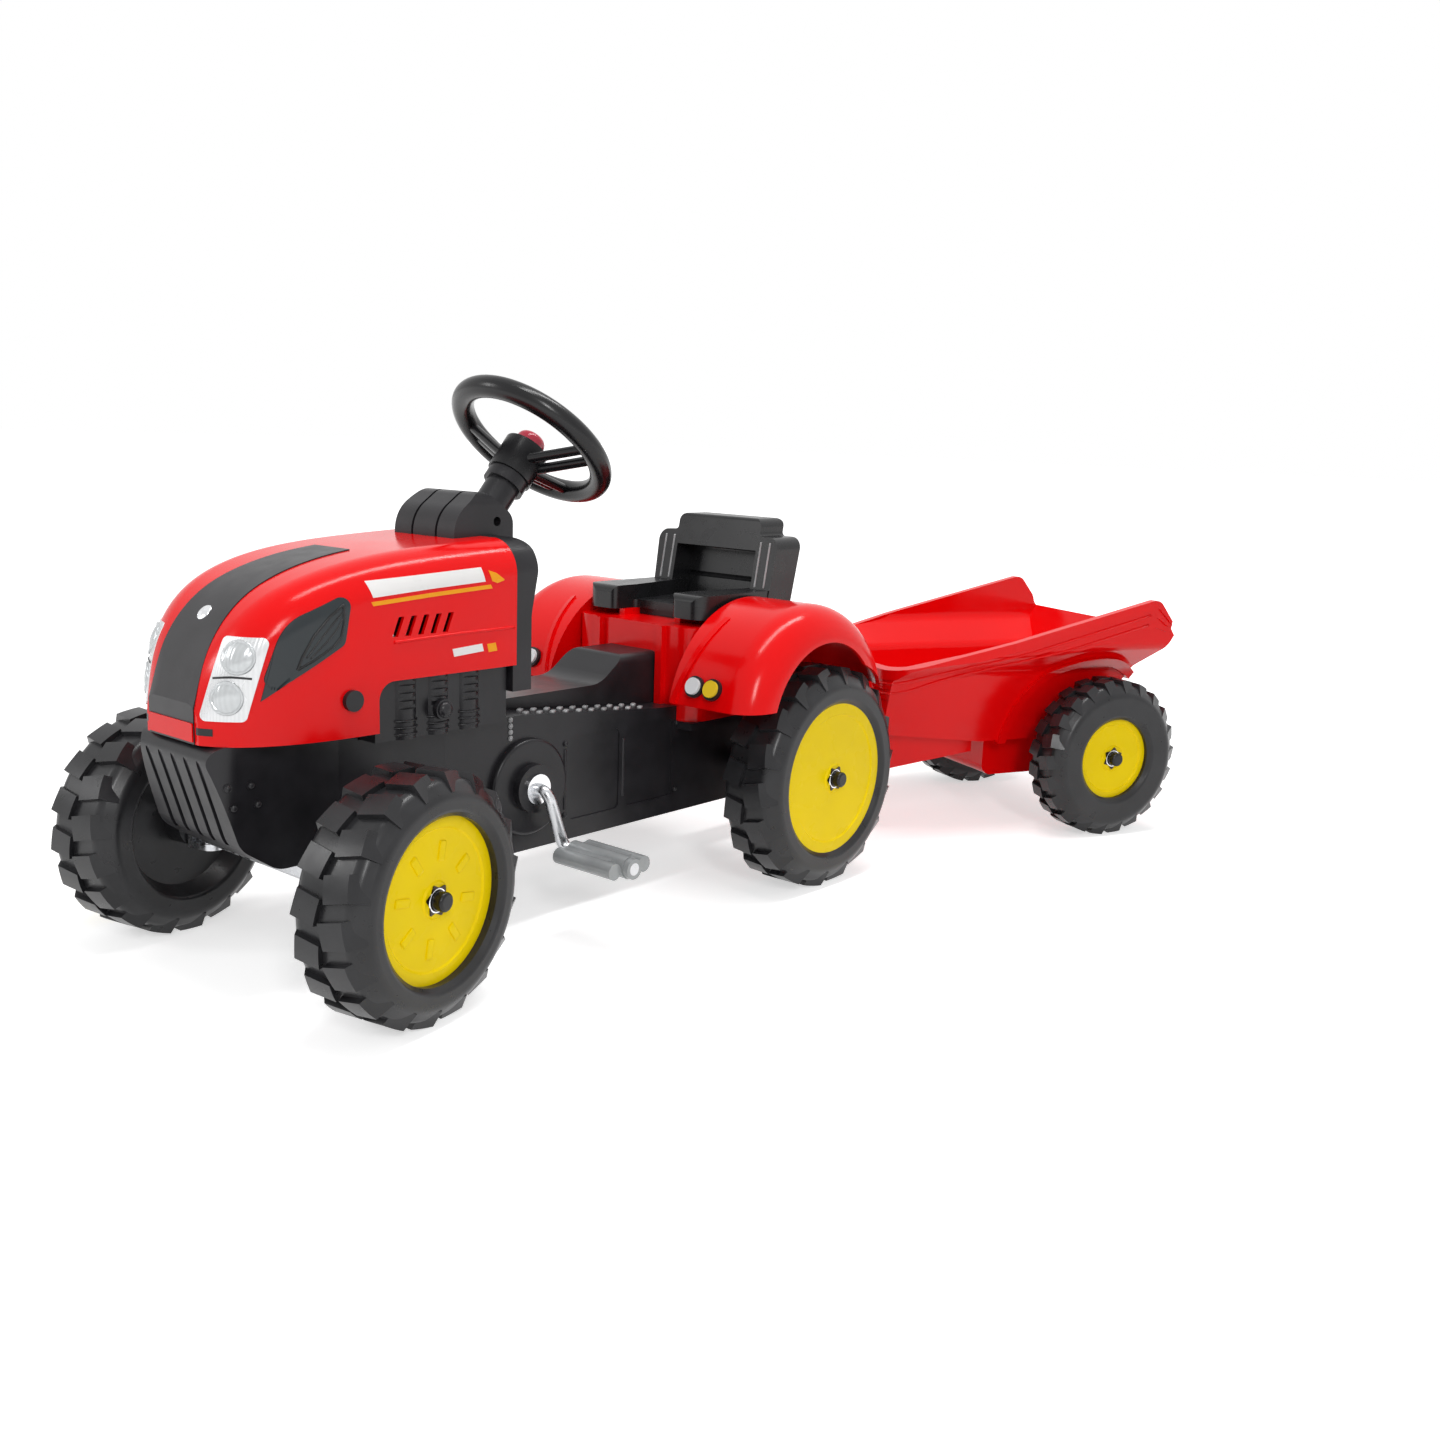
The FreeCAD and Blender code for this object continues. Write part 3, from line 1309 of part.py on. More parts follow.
# Fender and seat body: two rounded arches and a hollow pedestal with seat rails in one moulding
arch_outer = arch_solid(fender_arch_radius, fender_inner_y, fender_outer_y, fender_edge_round, 0)
arch_inner = arch_solid(
    fender_arch_radius - fender_wall, fender_inner_y + fender_wall, fender_outer_y - fender_wall,
    fender_edge_round - fender_wall, cut_overrun)
arch_mouth = arch_face(
    fender_arch_radius - fender_edge_round, fender_inner_y + fender_wall, cut_overrun).extrude(
        FreeCAD.Vector(0, fender_outer_y - fender_inner_y + cut_overrun, 0))
wheel_mouth = cylinder(
    rear_wheel_radius + fender_wheel_gap,
    FreeCAD.Vector(0, fender_inner_y + fender_wall, rear_wheel_radius),
    FreeCAD.Vector(0, fender_outer_y + cut_overrun, rear_wheel_radius))
arch_left = arch_outer.cut([arch_inner, arch_mouth, wheel_mouth])


def pedestal_form(inset, low, high):
    """The seat pedestal in plan, drawn in by an inset."""
    half = pedestal_half_width - inset
    return prism([
        (pedestal_rear_x + inset, -half, pedestal_round),
        (pedestal_front_x - inset, -half, pedestal_round),
        (pedestal_front_x - inset, half, pedestal_round),
        (pedestal_rear_x + inset, half, pedestal_round),
    ], at_z, low, high)


pedestal = pedestal_form(0, fender_bottom_z, pedestal_top_z).cut(
    pedestal_form(fender_wall, fender_bottom_z - cut_overrun, pedestal_top_z - fender_wall))
recess_half_width = seat_half_width + seat_recess_gap
recess_start = fender_arch_x - fender_arch_radius - cut_overrun
seat_recess = Part.makeBox(
    2 * fender_arch_radius + 2 * cut_overrun, 2 * recess_half_width, fender_arch_radius,
    FreeCAD.Vector(recess_start, -recess_half_width, pedestal_top_z))
seat_rail = Part.makeBox(
    seat_rail_front_x - seat_rail_rear_x, seat_rail_width, seat_rail_height,
    FreeCAD.Vector(seat_rail_rear_x, seat_rail_half_gap, pedestal_top_z))
strut_root_x = pedestal_front_x - fender_wall / 2
strut = Part.makeBox(
    pedestal_front_x + strut_proud - strut_root_x, strut_width, pedestal_top_z - fender_bottom_z,
    FreeCAD.Vector(strut_root_x, strut_y - strut_width / 2, fender_bottom_z))
rib_run = FreeCAD.Vector(0, fender_rib_width, 0)
rib_start = fender_rib_y - fender_rib_width / 2
rib_front_x = fender_arch_x + fender_arch_radius / 2
fender_rib = arch_face(fender_arch_radius + fender_rib_proud, rib_start, 0).extrude(rib_run).cut(
    arch_face(fender_arch_radius - fender_wall / 2, rib_start, fender_rib_proud).extrude(rib_run))
fender_rib = rotated(
    fender_rib.common(Part.makeBox(
        fender_arch_radius, fender_rib_width, fender_arch_radius,
        FreeCAD.Vector(rib_front_x, rib_start, fender_front_z))),
    FreeCAD.Vector(0, fender_rib_y, lamp_z), FreeCAD.Vector(1, 0, 0), -fender_rib_slant)
fender_pieces = [pedestal]
for piece in (arch_left, strut, fender_rib):
    fender_pieces += [piece, mirrored(piece)]
fender_shell = fused(fender_pieces).cut([seat_recess, chassis_outer])
fender_body = fused([fender_shell, seat_rail, mirrored(seat_rail)])

# Position lamps on the fronts of the fenders
lamp_angle = math.asin((lamp_z - fender_arch_z) / fender_arch_radius)
lamp_out = FreeCAD.Vector(math.cos(lamp_angle), 0, math.sin(lamp_angle))


def lamp_cylinder(radius, y, proud):
    """A round lamp standing square on the fender's front."""
    foot = FreeCAD.Vector(fender_arch_x, y, fender_arch_z) + lamp_out * (fender_arch_radius - lamp_radius)
    tip = FreeCAD.Vector(fender_arch_x, y, fender_arch_z) + lamp_out * (fender_arch_radius + proud)
    return cylinder(radius, foot, tip).cut(arch_outer)


def lamp_bezel(y):
    """The dark ring round a lamp."""
    return lamp_cylinder(bezel_radius, y, bezel_proud).cut(lamp_cylinder(lamp_radius, y, lamp_proud))


amber_y = lamp_y + lamp_pitch
lamp_bezels = Part.makeCompound([
    lamp_bezel(lamp_y), lamp_bezel(amber_y), mirrored(lamp_bezel(lamp_y)), mirrored(lamp_bezel(amber_y))])
white_lamps = both(lamp_cylinder(lamp_radius, lamp_y, lamp_proud))
amber_lamps = both(lamp_cylinder(lamp_radius, amber_y, lamp_proud))

# Seat: a bucket shell with thigh blocks, which slides fore and aft between two rails
pan_bottom = pedestal_top_z + seat_rail_height + wheel_end_gap
pan_top = pan_bottom + seat_pan_thickness
block_inner = seat_half_width - seat_block_width
notch_x = seat_pan_front_x - seat_front_notch_depth
seat_pan = prism([
    (seat_pan_rear_x, -seat_half_width),
    (seat_pan_front_x, -seat_half_width, seat_round),
    (seat_pan_front_x, -block_inner, seat_block_round),
    (notch_x, -block_inner, seat_block_round),
    (notch_x, block_inner, seat_block_round),
    (seat_pan_front_x, block_inner, seat_block_round),
    (seat_pan_front_x, seat_half_width, seat_round),
    (seat_pan_rear_x, seat_half_width),
], at_z, pan_bottom, pan_top)
seat_block_side = prism([
    (seat_pan_rear_x + seat_back_thickness, pan_bottom),
    (seat_pan_front_x, pan_bottom),
    (seat_pan_front_x, pan_top + seat_block_height, seat_block_round),
    (seat_pan_rear_x + seat_back_thickness, pan_top + seat_block_height),
], at_y, 0, seat_half_width)
seat_block = seat_block_side.common(prism([
    (seat_pan_rear_x, seat_panel_half_width),
    (notch_x, block_inner, seat_round),
    (seat_pan_front_x, block_inner, seat_block_round),
    (seat_pan_front_x, seat_half_width, seat_round),
    (seat_pan_rear_x, seat_half_width),
], at_z, pan_bottom, pan_top + seat_block_height))
back_front_x = seat_pan_rear_x + seat_back_depth
seat_back_side = prism([
    (seat_pan_rear_x, pan_bottom, seat_edge_round),
    (back_front_x, pan_bottom),
    (back_front_x, pan_top),
    (back_front_x - seat_back_lean, seat_back_top_z, seat_edge_round),
    (seat_pan_rear_x - seat_back_lean, seat_back_top_z, seat_edge_round),
], at_y, -seat_shoulder_half_width, seat_shoulder_half_width)
seat_back_outline = prism([
    (-seat_half_width, pan_bottom),
    (seat_half_width, pan_bottom),
    (seat_shoulder_half_width, seat_shoulder_z, seat_round),
    (seat_head_half_width, seat_shoulder_z, seat_edge_round),
    (seat_head_half_width, seat_back_top_z, seat_round),
    (-seat_head_half_width, seat_back_top_z, seat_round),
    (-seat_head_half_width, seat_shoulder_z, seat_edge_round),
    (-seat_shoulder_half_width, seat_shoulder_z, seat_round),
], at_x, seat_pan_rear_x - seat_back_lean - cut_overrun, back_front_x + cut_overrun)
lean_share = seat_back_lean / (seat_back_top_z - pan_bottom)


def panel_x(z):
    """Where the front of the recessed back panel lies at a height."""
    return seat_pan_rear_x + seat_back_thickness - lean_share * (z - pan_bottom)


seat_panel_recess = prism([
    (panel_x(pan_top), pan_top),
    (back_front_x + cut_overrun, pan_top),
    (back_front_x + cut_overrun, seat_panel_top_z),
    (panel_x(seat_panel_top_z), seat_panel_top_z, seat_edge_round),
], at_y, -seat_panel_half_width, seat_panel_half_width)
lumbar_low = seat_lumbar_z - seat_lumbar_groove
lumbar_high = seat_lumbar_z + seat_lumbar_groove
lumbar_groove = prism([
    (panel_x(lumbar_low), lumbar_low),
    (back_front_x, seat_lumbar_z),
    (panel_x(lumbar_high), lumbar_high),
    (panel_x(seat_lumbar_z) - seat_lumbar_groove, seat_lumbar_z),
], at_y, -seat_panel_half_width, seat_panel_half_width)
seat_back = seat_back_side.common(seat_back_outline).cut([seat_panel_recess, lumbar_groove])
runner_half = seat_rail_half_gap - seat_runner_side_gap
runner_length = seat_rail_front_x - seat_rail_rear_x - 2 * seat_travel
runner_bottom = pedestal_top_z + wheel_end_gap
seat_runner = Part.makeBox(
    runner_length, 2 * runner_half, pan_bottom - runner_bottom,
    FreeCAD.Vector(seat_rail_rear_x + seat_travel, -runner_half, runner_bottom))
seat_shell = fused([seat_pan, seat_back, seat_block, mirrored(seat_block), seat_runner])

# Hitch: a bracket on the tail with a tongue, and a pin kept by a clip
tongue_bottom = hitch_z + drawbar_tip_half_height + wheel_end_gap
tongue_top = tongue_bottom + hitch_tongue_thickness
hitch_plate = Part.makeBox(
    hitch_tongue_thickness, 2 * hitch_tongue_half_width, hitch_tongue_root,
    FreeCAD.Vector(chassis_rear_x - hitch_tongue_thickness, -hitch_tongue_half_width, tongue_bottom))
hitch_tongue = prism([
    (hitch_x - hitch_tongue_half_width, -hitch_tongue_half_width, hitch_tongue_half_width),
    (chassis_rear_x, -hitch_tongue_half_width),
    (chassis_rear_x, hitch_tongue_half_width),
    (hitch_x - hitch_tongue_half_width, hitch_tongue_half_width, hitch_tongue_half_width),
], at_z, tongue_bottom, tongue_top)
clip_top_z = hitch_z - drawbar_tip_half_height - wheel_end_gap
pin_foot = FreeCAD.Vector(hitch_x, 0, clip_top_z - 2 * hitch_clip_thickness)
pin_neck = FreeCAD.Vector(hitch_x, 0, tongue_top)
hitch_pin_shank = cylinder(hitch_pin_radius, pin_foot, pin_neck)
hitch_pin = fused([hitch_pin_shank, cylinder(
    hitch_pin_head_radius, pin_neck, pin_neck + FreeCAD.Vector(0, 0, hitch_pin_head))])
hitch_bracket = fused([hitch_plate, hitch_tongue]).cut([hitch_pin_shank, chassis_outer])
clip_foot = pin_foot + FreeCAD.Vector(0, 0, hitch_clip_thickness)
hitch_clip = tube(
    hitch_clip_radius, hitch_pin_radius, clip_foot, clip_foot + FreeCAD.Vector(0, 0, hitch_clip_thickness))


def bed_form(inset, band, proud):
    """The trailer bed's outer form, drawn in by an inset; with a band, only its rim, standing proud."""
    grow = proud if band > 0 else -inset
    rear_top_x = bed_rear_x + bed_rear_run
    if band > 0:
        side = [
            (bed_front_x + grow, bed_front_rim_z - band),
            (bed_front_x + grow, bed_front_rim_z),
            (rear_top_x, bed_rear_rim_z, bed_rim_round),
            (bed_rear_x - grow, bed_rear_floor_z, bed_rim_round),
            (rear_top_x, bed_rear_rim_z - band),
        ]
    else:
        open_top = 2 * inset + (cut_overrun if inset > 0 else 0)
        rear_run = bed_floor_rear_x - bed_rear_x
        rear_rise = bed_rear_floor_z - bed_floor_z
        past = cut_overrun / rear_run if inset > 0 else 0
        side = [
            (bed_front_x + grow, bed_front_bottom_z + inset),
            (bed_floor_front_x, bed_floor_z + inset, bed_floor_round),
            (bed_floor_rear_x + inset, bed_floor_z + inset, bed_floor_round),
            (bed_rear_x + inset - past * rear_run, bed_rear_floor_z + inset + past * rear_rise),
            (rear_top_x - past * rear_run, bed_rear_rim_z + open_top + past * rear_rise, bed_rim_round),
            (bed_front_x + grow, bed_front_rim_z + open_top),
        ]
    across = [
        (-bed_floor_half_width - grow, bed_floor_z - cut_overrun, 0),
        (bed_floor_half_width + grow, bed_floor_z - cut_overrun, 0),
        (bed_side_half_width + grow, bed_side_z - grow, bed_rim_round),
        (bed_rim_half_width + grow, bed_rim_z - grow, bed_rim_round),
        (bed_rim_half_width + grow, bed_rear_rim_z + cut_overrun + rear_room),
        (-bed_rim_half_width - grow, bed_rear_rim_z + cut_overrun + rear_room),
        (-bed_rim_half_width - grow, bed_rim_z - grow, bed_rim_round),
        (-bed_side_half_width - grow, bed_side_z - grow, bed_rim_round),
    ]
    far = bed_rear_x - 2 * cut_overrun
    plan = [
        (far, -bed_rim_half_width - grow),
        (bed_floor_front_x, -bed_rim_half_width - grow),
        (bed_front_x + grow, -bed_front_half_width - grow, bed_corner),
        (bed_front_x + grow, bed_front_half_width + grow, bed_corner),
        (bed_floor_front_x, bed_rim_half_width + grow),
        (far, bed_rim_half_width + grow),
    ]
    top = bed_rear_rim_z + cut_overrun + rear_room
    wide = bed_rim_half_width + 2 * bed_lip_proud
    form = prism(side, at_y, -wide, wide)
    form = form.common(prism(across, at_x, far, bed_front_x + cut_overrun))
    return form.common(prism(plan, at_z, 0, top))


rear_room = 2 * cut_overrun
bed_outer = bed_form(0, 0, 0)
bed_inner = bed_form(bed_wall, 0, 0)
bed_lip = bed_form(0, bed_lip_band, bed_lip_proud)
bed_rim = bed_form(0, bed_rim_band, bed_rim_proud)
bed_skirt = bed_form(0, bed_skirt_band, bed_skirt_proud)
bed_hump = cylinder(
    bed_hump_radius,
    FreeCAD.Vector(bed_hump_x, -bed_hump_half_length, bed_floor_z + bed_wall),
    FreeCAD.Vector(bed_hump_x, bed_hump_half_length, bed_floor_z + bed_wall)).common(bed_outer)
flare_inner = trailer_wheel_radius + bed_flare_gap
flare_ring = tube(
    flare_inner + bed_flare_width, flare_inner,
    FreeCAD.Vector(0, bed_floor_half_width, trailer_wheel_radius),
    FreeCAD.Vector(0, bed_rim_half_width, trailer_wheel_radius))
bed_flare = bed_form(-bed_flare_proud, 0, 0).common(flare_ring)
bed_solid = fused([bed_outer, bed_lip, bed_rim, bed_skirt])
bed_shell = fused([bed_solid, bed_flare, mirrored(bed_flare)]).cut(bed_inner)
trailer_bed = bed_shell.fuse(bed_hump).removeSplitter()

carrier_outer = prism([
    (carrier_rear_x, trailer_wheel_radius - carrier_round, carrier_round),
    (0, carrier_bottom_z, carrier_round),
    (carrier_front_x, carrier_bottom_z, carrier_round),
    (carrier_front_x, bed_front_bottom_z),
    (carrier_rear_x, bed_front_bottom_z),
], at_y, -carrier_half_width, carrier_half_width)
hollow_half_width = carrier_half_width - carrier_wall
carrier_hollow = Part.makeBox(
    carrier_front_x - carrier_rear_x - 2 * carrier_wall, 2 * hollow_half_width, bed_front_bottom_z,
    FreeCAD.Vector(carrier_rear_x + carrier_wall, -hollow_half_width, 0))
trailer_tip = axle_tip(trailer_half_track, trailer_tyre_width, trailer_disc_inset)
trailer_seat = cap_seat(trailer_half_track, trailer_tyre_width, trailer_disc_inset)
trailer_axle = cylinder(
    axle_radius,
    FreeCAD.Vector(0, -trailer_tip, trailer_wheel_radius),
    FreeCAD.Vector(0, trailer_tip, trailer_wheel_radius))
carrier_boss = cylinder(
    axle_radius + axle_spacer_wall,
    FreeCAD.Vector(0, carrier_half_width - carrier_wall, trailer_wheel_radius),
    FreeCAD.Vector(0, trailer_half_track - trailer_tyre_width / 2 - wheel_end_gap, trailer_wheel_radius))
carrier_shell = carrier_outer.cut([carrier_hollow, bed_outer])
axle_carrier = fused([carrier_shell, carrier_boss, mirrored(carrier_boss)]).cut(trailer_axle)
drawbar_end = drawbar_reach + drawbar_tip_half_width
drawbar_rise_x = drawbar_reach - hitch_tongue_half_width - drawbar_round
drawbar_side = prism([
    (drawbar_end, hitch_z - drawbar_tip_half_height),
    (drawbar_end, hitch_z + drawbar_tip_half_height),
    (drawbar_rise_x, hitch_z + drawbar_tip_half_height, drawbar_round),
    (drawbar_neck_x + drawbar_round, drawbar_neck_top_z, drawbar_round),
    (bed_floor_front_x, drawbar_neck_top_z),
    (bed_floor_front_x, drawbar_neck_bottom_z),
    (drawbar_reach - 2 * drawbar_tip_half_width, hitch_z - drawbar_tip_half_height, drawbar_round),
], at_y, -drawbar_neck_half_width, drawbar_neck_half_width)
drawbar_plan = prism([
    (drawbar_end, -drawbar_tip_half_width, drawbar_tip_half_width),
    (drawbar_end, drawbar_tip_half_width, drawbar_tip_half_width),
    (drawbar_reach - drawbar_tip_half_width, drawbar_tip_half_width, drawbar_round),
    (drawbar_neck_x, drawbar_neck_half_width, drawbar_round),
    (bed_floor_front_x, drawbar_neck_half_width),
    (bed_floor_front_x, -drawbar_neck_half_width),
    (drawbar_neck_x, -drawbar_neck_half_width, drawbar_round),
    (drawbar_reach - drawbar_tip_half_width, -drawbar_tip_half_width, drawbar_round),
], at_z, 0, drawbar_neck_top_z + cut_overrun)
drawbar_bore = cylinder(
    hitch_pin_radius + running_clearance,
    FreeCAD.Vector(drawbar_reach, 0, 0), FreeCAD.Vector(drawbar_reach, 0, drawbar_neck_top_z))
drawbar = drawbar_side.common(drawbar_plan).cut([bed_solid, drawbar_bore])
trailer_sizes = (trailer_wheel_radius, trailer_tyre_width, trailer_disc_radius, trailer_disc_inset)
trailer_tyre = moved(
    tyre(*trailer_sizes, free_bore, trailer_lug_count), 0, trailer_half_track, trailer_wheel_radius)
trailer_disc = moved(hub_disc(*trailer_sizes[1:], free_bore), 0, trailer_half_track, trailer_wheel_radius)


def hitched(shape):
    """Put a trailer piece behind the tractor, turned about the hitch pin by the angle that it rests at."""
    placed = moved(shape, hitch_x - drawbar_reach, 0, 0)
    return rotated(placed, FreeCAD.Vector(hitch_x, 0, 0), FreeCAD.Vector(0, 0, 1), rest_hitch)


nodes = {
    "chassis_frame": chassis_frame,
    "belly_cover": belly_cover,
    "engine_block": engine_block,
    "hood": hood,
    "grille_strip": grille_strip,
    "headlamps": both(headlamp),
    "side_panels": both(side_panel),
    "hood_plugs": hood_plugs,
    "dash_panel": dash_panel,
    "steering_cowl": steering_cowl,
    "column_sleeve": column_sleeve,
    "steering_lower_bush": steering_lower_bush,
    "steering_wheel": steering_wheel,
    "steering_rod": steering_rod,
    "horn_button": horn_button,
    "front_axle_beam": front_axle_beam,
    "kingpins": kingpins,
    "knuckle_left": steered(knuckle, 1),
    "knuckle_right": steered(mirrored(knuckle), -1),
    "tie_rod": tie_rod,
    "front_tyre_left": steered(front_tyre, 1),
    "front_tyre_right": steered(mirrored(front_tyre), -1),
    "front_disc_left": steered(front_disc, 1),
    "front_disc_right": steered(mirrored(front_disc), -1),
    "front_axle_cap_left": steered(front_cap, 1),
    "front_axle_cap_right": steered(mirrored(front_cap), -1),
    "crank_rod": crank_rod,
    "crank_bushes": crank_bushes,
    "drive_sprocket": drive_sprocket,
    "pedal_left": pedal_left,
    "pedal_right": pedal_right,
    "pedal_caps": pedal_caps,
    "drive_chain": drive_chain,
    "rear_axle_rod": rear_axle_rod,
    "rear_axle_bushes": rear_axle_bushes,
    "axle_sprocket": axle_sprocket,
    "rear_spacers": rear_spacers,
    "rear_tyre_left": rear_tyre_left,
    "rear_tyre_right": rear_tyre_right,
    "rear_disc_left": rear_disc_left,
    "rear_disc_right": rear_disc_right,
    "rear_axle_caps": rear_axle_caps,
    "fender_body": fender_body,
    "lamp_bezels": lamp_bezels,
    "white_lamps": white_lamps,
    "amber_lamps": amber_lamps,
    "seat_shell": seat_shell,
    "hitch_bracket": hitch_bracket,
    "hitch_pin": Part.makeCompound([hitch_pin, hitch_clip]),
    "trailer_bed": hitched(trailer_bed),
    "axle_carrier": hitched(axle_carrier),
    "drawbar": hitched(drawbar),
    "trailer_axle": hitched(trailer_axle),
    "trailer_tyre_left": hitched(trailer_tyre),
    "trailer_tyre_right": hitched(mirrored(trailer_tyre)),
    "trailer_disc_left": hitched(trailer_disc),
    "trailer_disc_right": hitched(mirrored(trailer_disc)),
    "trailer_axle_caps": hitched(moved(both(axle_cap(trailer_seat)), 0, 0, trailer_wheel_radius)),
}

# The origin goes to the bottom centre of the whole object.
whole = Part.makeCompound(list(nodes.values())).optimalBoundingBox(False)
shift = FreeCAD.Vector(-whole.Center.x, -whole.Center.y, -whole.ZMin)
os.makedirs("parts", exist_ok=True)
for name, shape in nodes.items():
    placed = shape.copy()
    placed.translate(shift)
    placed.exportStep("parts/" + name + ".step")
print("nodes", len(nodes), "size", whole.XLength, whole.YLength, whole.ZLength, "shift", shift)
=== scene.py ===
# %% [markdown]
# # A pedal tractor and its trailer
# A child's pedal tractor is a handful of large plastic mouldings on a steel crank and axles. The CAD frame already
# holds every moulding at its real size, so this lesson dresses it: the camera and the finishes first, then the small
# pieces that repeat, such as washers and tread bars, then the trim that lies on the hood, and last the light.

# %% Load the frame
import json
import math

import bmesh
import bpy
from mathutils import Matrix, Vector
from mathutils.bvhtree import BVHTree

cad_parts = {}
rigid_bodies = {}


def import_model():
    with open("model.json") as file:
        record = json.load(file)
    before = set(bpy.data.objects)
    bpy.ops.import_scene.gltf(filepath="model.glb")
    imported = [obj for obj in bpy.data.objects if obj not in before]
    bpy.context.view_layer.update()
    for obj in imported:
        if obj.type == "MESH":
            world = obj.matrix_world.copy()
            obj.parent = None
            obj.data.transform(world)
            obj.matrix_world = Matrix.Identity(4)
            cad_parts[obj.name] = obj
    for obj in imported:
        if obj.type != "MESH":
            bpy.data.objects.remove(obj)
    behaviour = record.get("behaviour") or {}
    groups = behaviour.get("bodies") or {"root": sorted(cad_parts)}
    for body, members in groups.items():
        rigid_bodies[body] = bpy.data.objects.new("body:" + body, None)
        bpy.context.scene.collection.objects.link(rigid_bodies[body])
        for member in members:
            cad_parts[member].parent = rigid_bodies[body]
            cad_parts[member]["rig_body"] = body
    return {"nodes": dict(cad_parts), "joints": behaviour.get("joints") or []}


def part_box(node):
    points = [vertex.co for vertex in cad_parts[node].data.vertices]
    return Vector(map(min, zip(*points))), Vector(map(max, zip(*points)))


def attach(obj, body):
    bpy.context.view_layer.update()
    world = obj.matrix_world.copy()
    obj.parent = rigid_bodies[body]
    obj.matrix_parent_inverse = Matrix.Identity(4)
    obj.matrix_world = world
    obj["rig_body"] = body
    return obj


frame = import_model()
nodes = frame["nodes"]
joints = {joint["name"]: joint for joint in frame["joints"]}
scene = bpy.context.scene
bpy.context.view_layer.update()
millimetre = 0.001
both_sides = (("left", 1), ("right", -1))
axle_low, axle_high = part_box("rear_axle_rod")
under_axle = Vector(((axle_low.x + axle_high.x) / 2, (axle_low.y + axle_high.y) / 2, 0))


def at(x, y, z):
    """A place in millimetres ahead of the rear axle, left of the middle and above the ground."""
    return under_axle + Vector((x, y, z)) * millimetre


def inward(side):
    """The direction from one side, 1 for left and -1 for right, level towards the middle."""
    return Vector((0, -side, 0))


# %% [markdown]
# ## Camera
# The camera stands ahead of the tractor on its left, a little above the hood, as in the photograph. It is placed
# from the point on the ground under the rear axle, which is where the object was measured from.

# %% Camera
camera_place = at(1258.1, 1088.8, 490.0)
camera_heading = -2.446
camera_pitch = -0.198
camera_roll = 0.036
sensor_width = 36.0
focal_share = 0.9984
ahead = Vector((math.cos(camera_pitch) * math.cos(camera_heading),
                math.cos(camera_pitch) * math.sin(camera_heading), math.sin(camera_pitch)))
level_right = ahead.cross(Vector((0, 0, 1))).normalized()
level_up = level_right.cross(ahead)
right = level_right * math.cos(camera_roll) + level_up * math.sin(camera_roll)
up = level_up * math.cos(camera_roll) - level_right * math.sin(camera_roll)
lens = bpy.data.cameras.new("camera")
lens.sensor_width = sensor_width
lens.lens = sensor_width * focal_share
camera = bpy.data.objects.new("camera", lens)
camera.matrix_world = Matrix.Translation(camera_place) @ Matrix((right, up, -ahead)).transposed().to_4x4()
scene.collection.objects.link(camera)
scene.camera = camera
print("camera at", [round(v, 3) for v in camera_place])

# %% [markdown]
# ## Node helpers
# Every finish is a small network of shader nodes. Two helpers keep the networks readable: one adds a node and sets
# its inputs, and one starts a material and hands back its Principled shader. All patterns read Object coordinates,
# which are metres on the object itself, so a pattern keeps its size and stays put when a wheel turns.

# %% Node helpers


def add_node(tree, kind, **inputs):
    """Add a node and set its inputs; a socket is linked and anything else is a value."""
    node = tree.nodes.new(kind)
    for name, value in inputs.items():
        socket = node.inputs[name.replace("_", " ")]
        if isinstance(value, bpy.types.NodeSocket):
            tree.links.new(value, socket)
        else:
            socket.default_value = value
    return node


def new_finish(name):
    """Start a material and return it with its tree, shader and Object coordinates."""
    finish = bpy.data.materials.new(name)
    finish.use_nodes = True
    tree = finish.node_tree
    shader = tree.nodes["Principled BSDF"]
    place = tree.nodes.new("ShaderNodeTexCoord").outputs["Object"]
    return finish, tree, shader, place


print("node helpers ready")

# %% [markdown]
# ## Patterns
# Plastic and metal are never quite even. Noise drives small changes of colour, gloss and relief, and these helpers
# bring it to the range that each of them needs. Most of a noise pattern lies near its middle, so that part is spread.

# %% Patterns
middle_low, middle_high = 0.3, 0.7


def noise(tree, place, scale, detail=2.0):
    """A noise pattern's value, with its scale in cells per metre."""
    node = add_node(tree, "ShaderNodeTexNoise", Vector=place, Scale=scale, Detail=detail)
    return node.outputs["Fac"]


def blend_colours(tree, factor, first, second):
    """Mix two colours by a pattern."""
    mix = tree.nodes.new("ShaderNodeMix")
    mix.data_type = "RGBA"
    tree.links.new(factor, mix.inputs["Factor"])
    mix.inputs["A"].default_value = (*first, 1)
    mix.inputs["B"].default_value = (*second, 1)
    return mix.outputs["Result"]


def spread(tree, factor, low, high):
    """Bring a pattern's middle range to the range from low to high."""
    node = add_node(tree, "ShaderNodeMapRange", Value=factor)
    node.inputs["From Min"].default_value = middle_low
    node.inputs["From Max"].default_value = middle_high
    node.inputs["To Min"].default_value = low
    node.inputs["To Max"].default_value = high
    return node.outputs["Result"]


def relief(tree, height, depth, strength):
    """Raise a pattern as a bump of a depth in metres."""
    node = add_node(tree, "ShaderNodeBump", Height=height, Distance=depth, Strength=strength)
    return node.outputs["Normal"]


def shaded(colour, share):
    """The same colour, darker or lighter by a share."""
    return tuple(min(1.0, channel * share) for channel in colour)


print("patterns are spread from", middle_low, "to", middle_high)

# %% [markdown]
# ## Moulded plastic
# Almost the whole toy is moulded plastic, in two families. The coloured shells come from polished moulds: their
# colour drifts a little where the melt flowed, and their gloss has a faint orange peel. The charcoal and black
# mouldings come from etched moulds, so a fine grain breaks up their shine and handling leaves paler scuffs.

